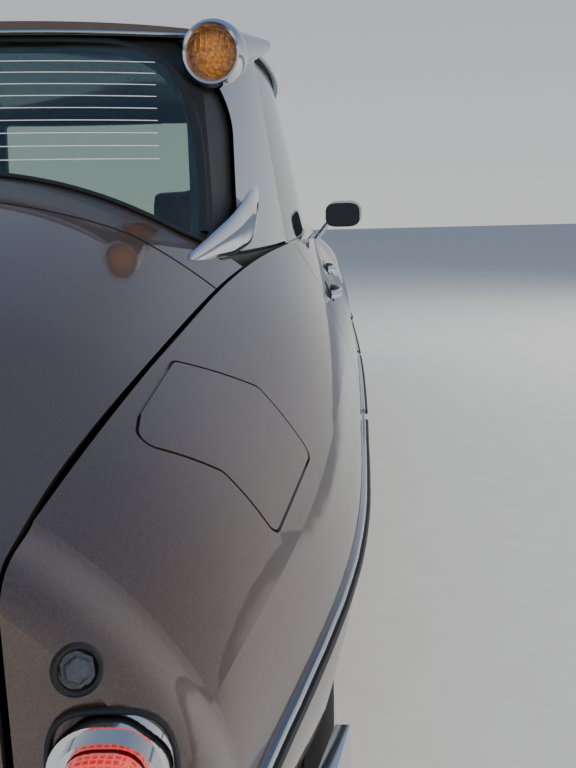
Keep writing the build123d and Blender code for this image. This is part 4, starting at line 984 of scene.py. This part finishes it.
def soft_pad(name, low, high, lean, facing, channels):
    """A stuffed pad between two corners, leaning by lean, with sewn channels across its facing side."""
    work = bmesh.new()
    bmesh.ops.create_cube(work, size=1.0)
    centre = (Vector(low) + Vector(high)) / 2
    reach = Vector(high) - Vector(low)
    for corner in work.verts:
        corner.co = Vector((corner.co.x * reach.x, corner.co.y * reach.y, corner.co.z * reach.z)) * 0.97
    bmesh.ops.bevel(
        work, geom=work.edges[:], offset=min(reach) * 0.34, segments=5, profile=0.6, affect="EDGES"
    )
    for corner in work.verts:
        corner.co += centre
        corner.co.x += lean * (corner.co.z - low[2])
    mesh = bpy.data.meshes.new(name)
    work.to_mesh(mesh)
    work.free()
    pad = bpy.data.objects.new(name, mesh)
    bpy.context.scene.collection.objects.link(pad)
    remesh = pad.modifiers.new("even", "REMESH")
    remesh.mode = "VOXEL"
    remesh.voxel_size = seat_voxel
    applied(pad)
    start = [v.co.copy() for v in pad.data.vertices]
    cloth = pad.modifiers.new("swell", "CLOTH")
    cloth.settings.use_pressure = True
    cloth.settings.uniform_pressure_force = 4.0
    cloth.settings.effector_weights.gravity = 0.0
    for frame_number in range(1, swell_frames + 1):
        bpy.context.scene.frame_set(frame_number)
    applied(pad)
    for vertex, rest in zip(pad.data.vertices, start):
        moved = vertex.co - rest
        if moved.length > swell_cap:
            vertex.co = rest + moved.normalized() * swell_cap
    bpy.context.scene.frame_set(1)
    pad.modifiers.new("smooth", "SUBSURF").levels = 1
    applied(pad)
    facings = [vertex.normal.copy() for vertex in pad.data.vertices]
    for vertex, normal in zip(pad.data.vertices, facings):
        if normal.dot(facing) > 0.35:
            deep = sum(math.exp(-(((vertex.co.y - y) / channel_width) ** 2)) for y in channels)
            vertex.co -= facing * channel_depth * min(deep, 1.0)
    pad.data.materials.clear()
    pad.data.materials.append(velour)
    pad.data.shade_smooth()
    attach(pad, "body")
    return pad


front_pads, rear_pads = [], []
for side, hand in ((1, "left"), (-1, "right")):
    inner, outer = side * 0.095, side * 0.585
    near, far = min(inner, outer), max(inner, outer)
    lines = [side * y for y in (0.175, 0.230, 0.285, 0.340, 0.395, 0.450, 0.505)]
    front_pads.append(soft_pad(f"front_cushion_{hand}", (0.045, near, 0.225), (0.560, far, 0.385), 0.0,
                               Vector((0, 0, 1)), lines))
    front_pads.append(
        soft_pad(
            f"front_backrest_{hand}",
            (-0.045, near + 0.01, 0.330),
            (0.060, far - 0.01, 0.885),
            -0.16,
            Vector((1, 0, 0)),
            lines,
        )
    )
    head = side * 0.340
    front_pads.append(
        soft_pad(
            f"front_headrest_{hand}",
            (-0.145, head - 0.130, 0.910),
            (-0.070, head + 0.130, 1.075),
            0.0,
            Vector((1, 0, 0)),
            [],
        )
    )
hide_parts("front_seats")
rear_lines = [-0.440, -0.352, -0.264, -0.176, -0.088, 0.0, 0.088, 0.176, 0.264, 0.352, 0.440]
rear_pads.append(
    soft_pad(
        "rear_cushion", (-1.010, -0.550, 0.225), (-0.590, 0.550, 0.380), 0.0, Vector((0, 0, 1)), rear_lines
    )
)
rear_pads.append(
    soft_pad(
        "rear_backrest",
        (-1.105, -0.550, 0.350),
        (-0.985, 0.550, 0.870),
        -0.08,
        Vector((1, 0, 0)),
        rear_lines,
    )
)
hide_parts("rear_seat")


# In each lamp block two bright-rimmed headlamps sit behind the fairing's glass.
# Their clear pressed glass has fine upright flutes that spread the light.
clear_lens, tree = surface("ribbed_headlamp_lens")
lens_ribs = add(
    tree, "ShaderNodeTexWave", {"Scale": per_mm(36.0), "Distortion": 0.0}, {"Vector": coords(tree)}
)
lens_bump = add(
    tree, "ShaderNodeBump", {"Strength": 0.4, "Distance": 0.001}, {"Height": lens_ribs.outputs[0]}
)
close_surface(tree, add(tree, "ShaderNodeBsdfPrincipled",
                        {"Base Color": linear("#E8EEF0"), "Roughness": 0.05, "Transmission Weight": 0.6},
                        {"Normal": lens_bump.outputs[0]}))
lamp_front = catch("headlamps")
for side, hand in ((1, "left"), (-1, "right")):
    for spot, (y, z, radius) in enumerate(((0.735, 0.655, 0.082), (0.560, 0.640, 0.062))):
        hit = lamp_front.ray_cast(Vector((3, side * y, z)), Vector((-1, 0, 0)))[0]
        if hit:
            turned(
                f"headlamp_rim_{hand}_{spot}",
                [
                    (radius, -0.002),
                    (radius + 0.004, 0.006),
                    (radius - 0.002, 0.010),
                    (radius - 0.007, 0.006),
                    (radius - 0.007, -0.002),
                ],
                hit,
                Vector((1, 0, 0)),
                chrome,
                "body",
                steps=64,
                ring=True,
            )
            turned(
                f"headlamp_lens_{hand}_{spot}",
                [
                    (0.0002, 0.010),
                    (radius * 0.5, 0.009),
                    (radius - 0.008, 0.005),
                    (radius - 0.008, -0.001),
                    (0.0002, -0.001),
                ],
                hit,
                Vector((1, 0, 0)),
                clear_lens,
                "body",
                steps=64,
            )


# Two wiper arms, with rubber blades, lie along the foot of the windscreen.
# Both are black and dull.
screen = catch("windscreen")
for number, (pivot_y, tip_y, tip_z) in enumerate(((0.420, -0.060, 0.985), (-0.080, -0.520, 0.985))):
    for part, start, stop, section in (
        ("arm", (pivot_y, 0.955), ((pivot_y + tip_y) / 2, 0.990), oval(0.004, 0.003)),
        ("blade", (pivot_y - 0.05, 0.972), (tip_y, tip_z), oval(0.003, 0.006)),
    ):
        path = []
        for k in range(13):
            y = start[0] + (stop[0] - start[0]) * k / 12
            z = start[1] + (stop[1] - start[1]) * k / 12
            hit = screen.ray_cast(Vector((3, y, z)), Vector((-1, 0, 0)))[0]
            if hit:
                path.append(hit + Vector((0.010 if part == "arm" else 0.006, 0, 0.004)))
        if len(path) > 3:
            drawn(f"wiper_{part}_{number}", path, section, rubber, "body", out=Vector((1, 0, 0.6)))
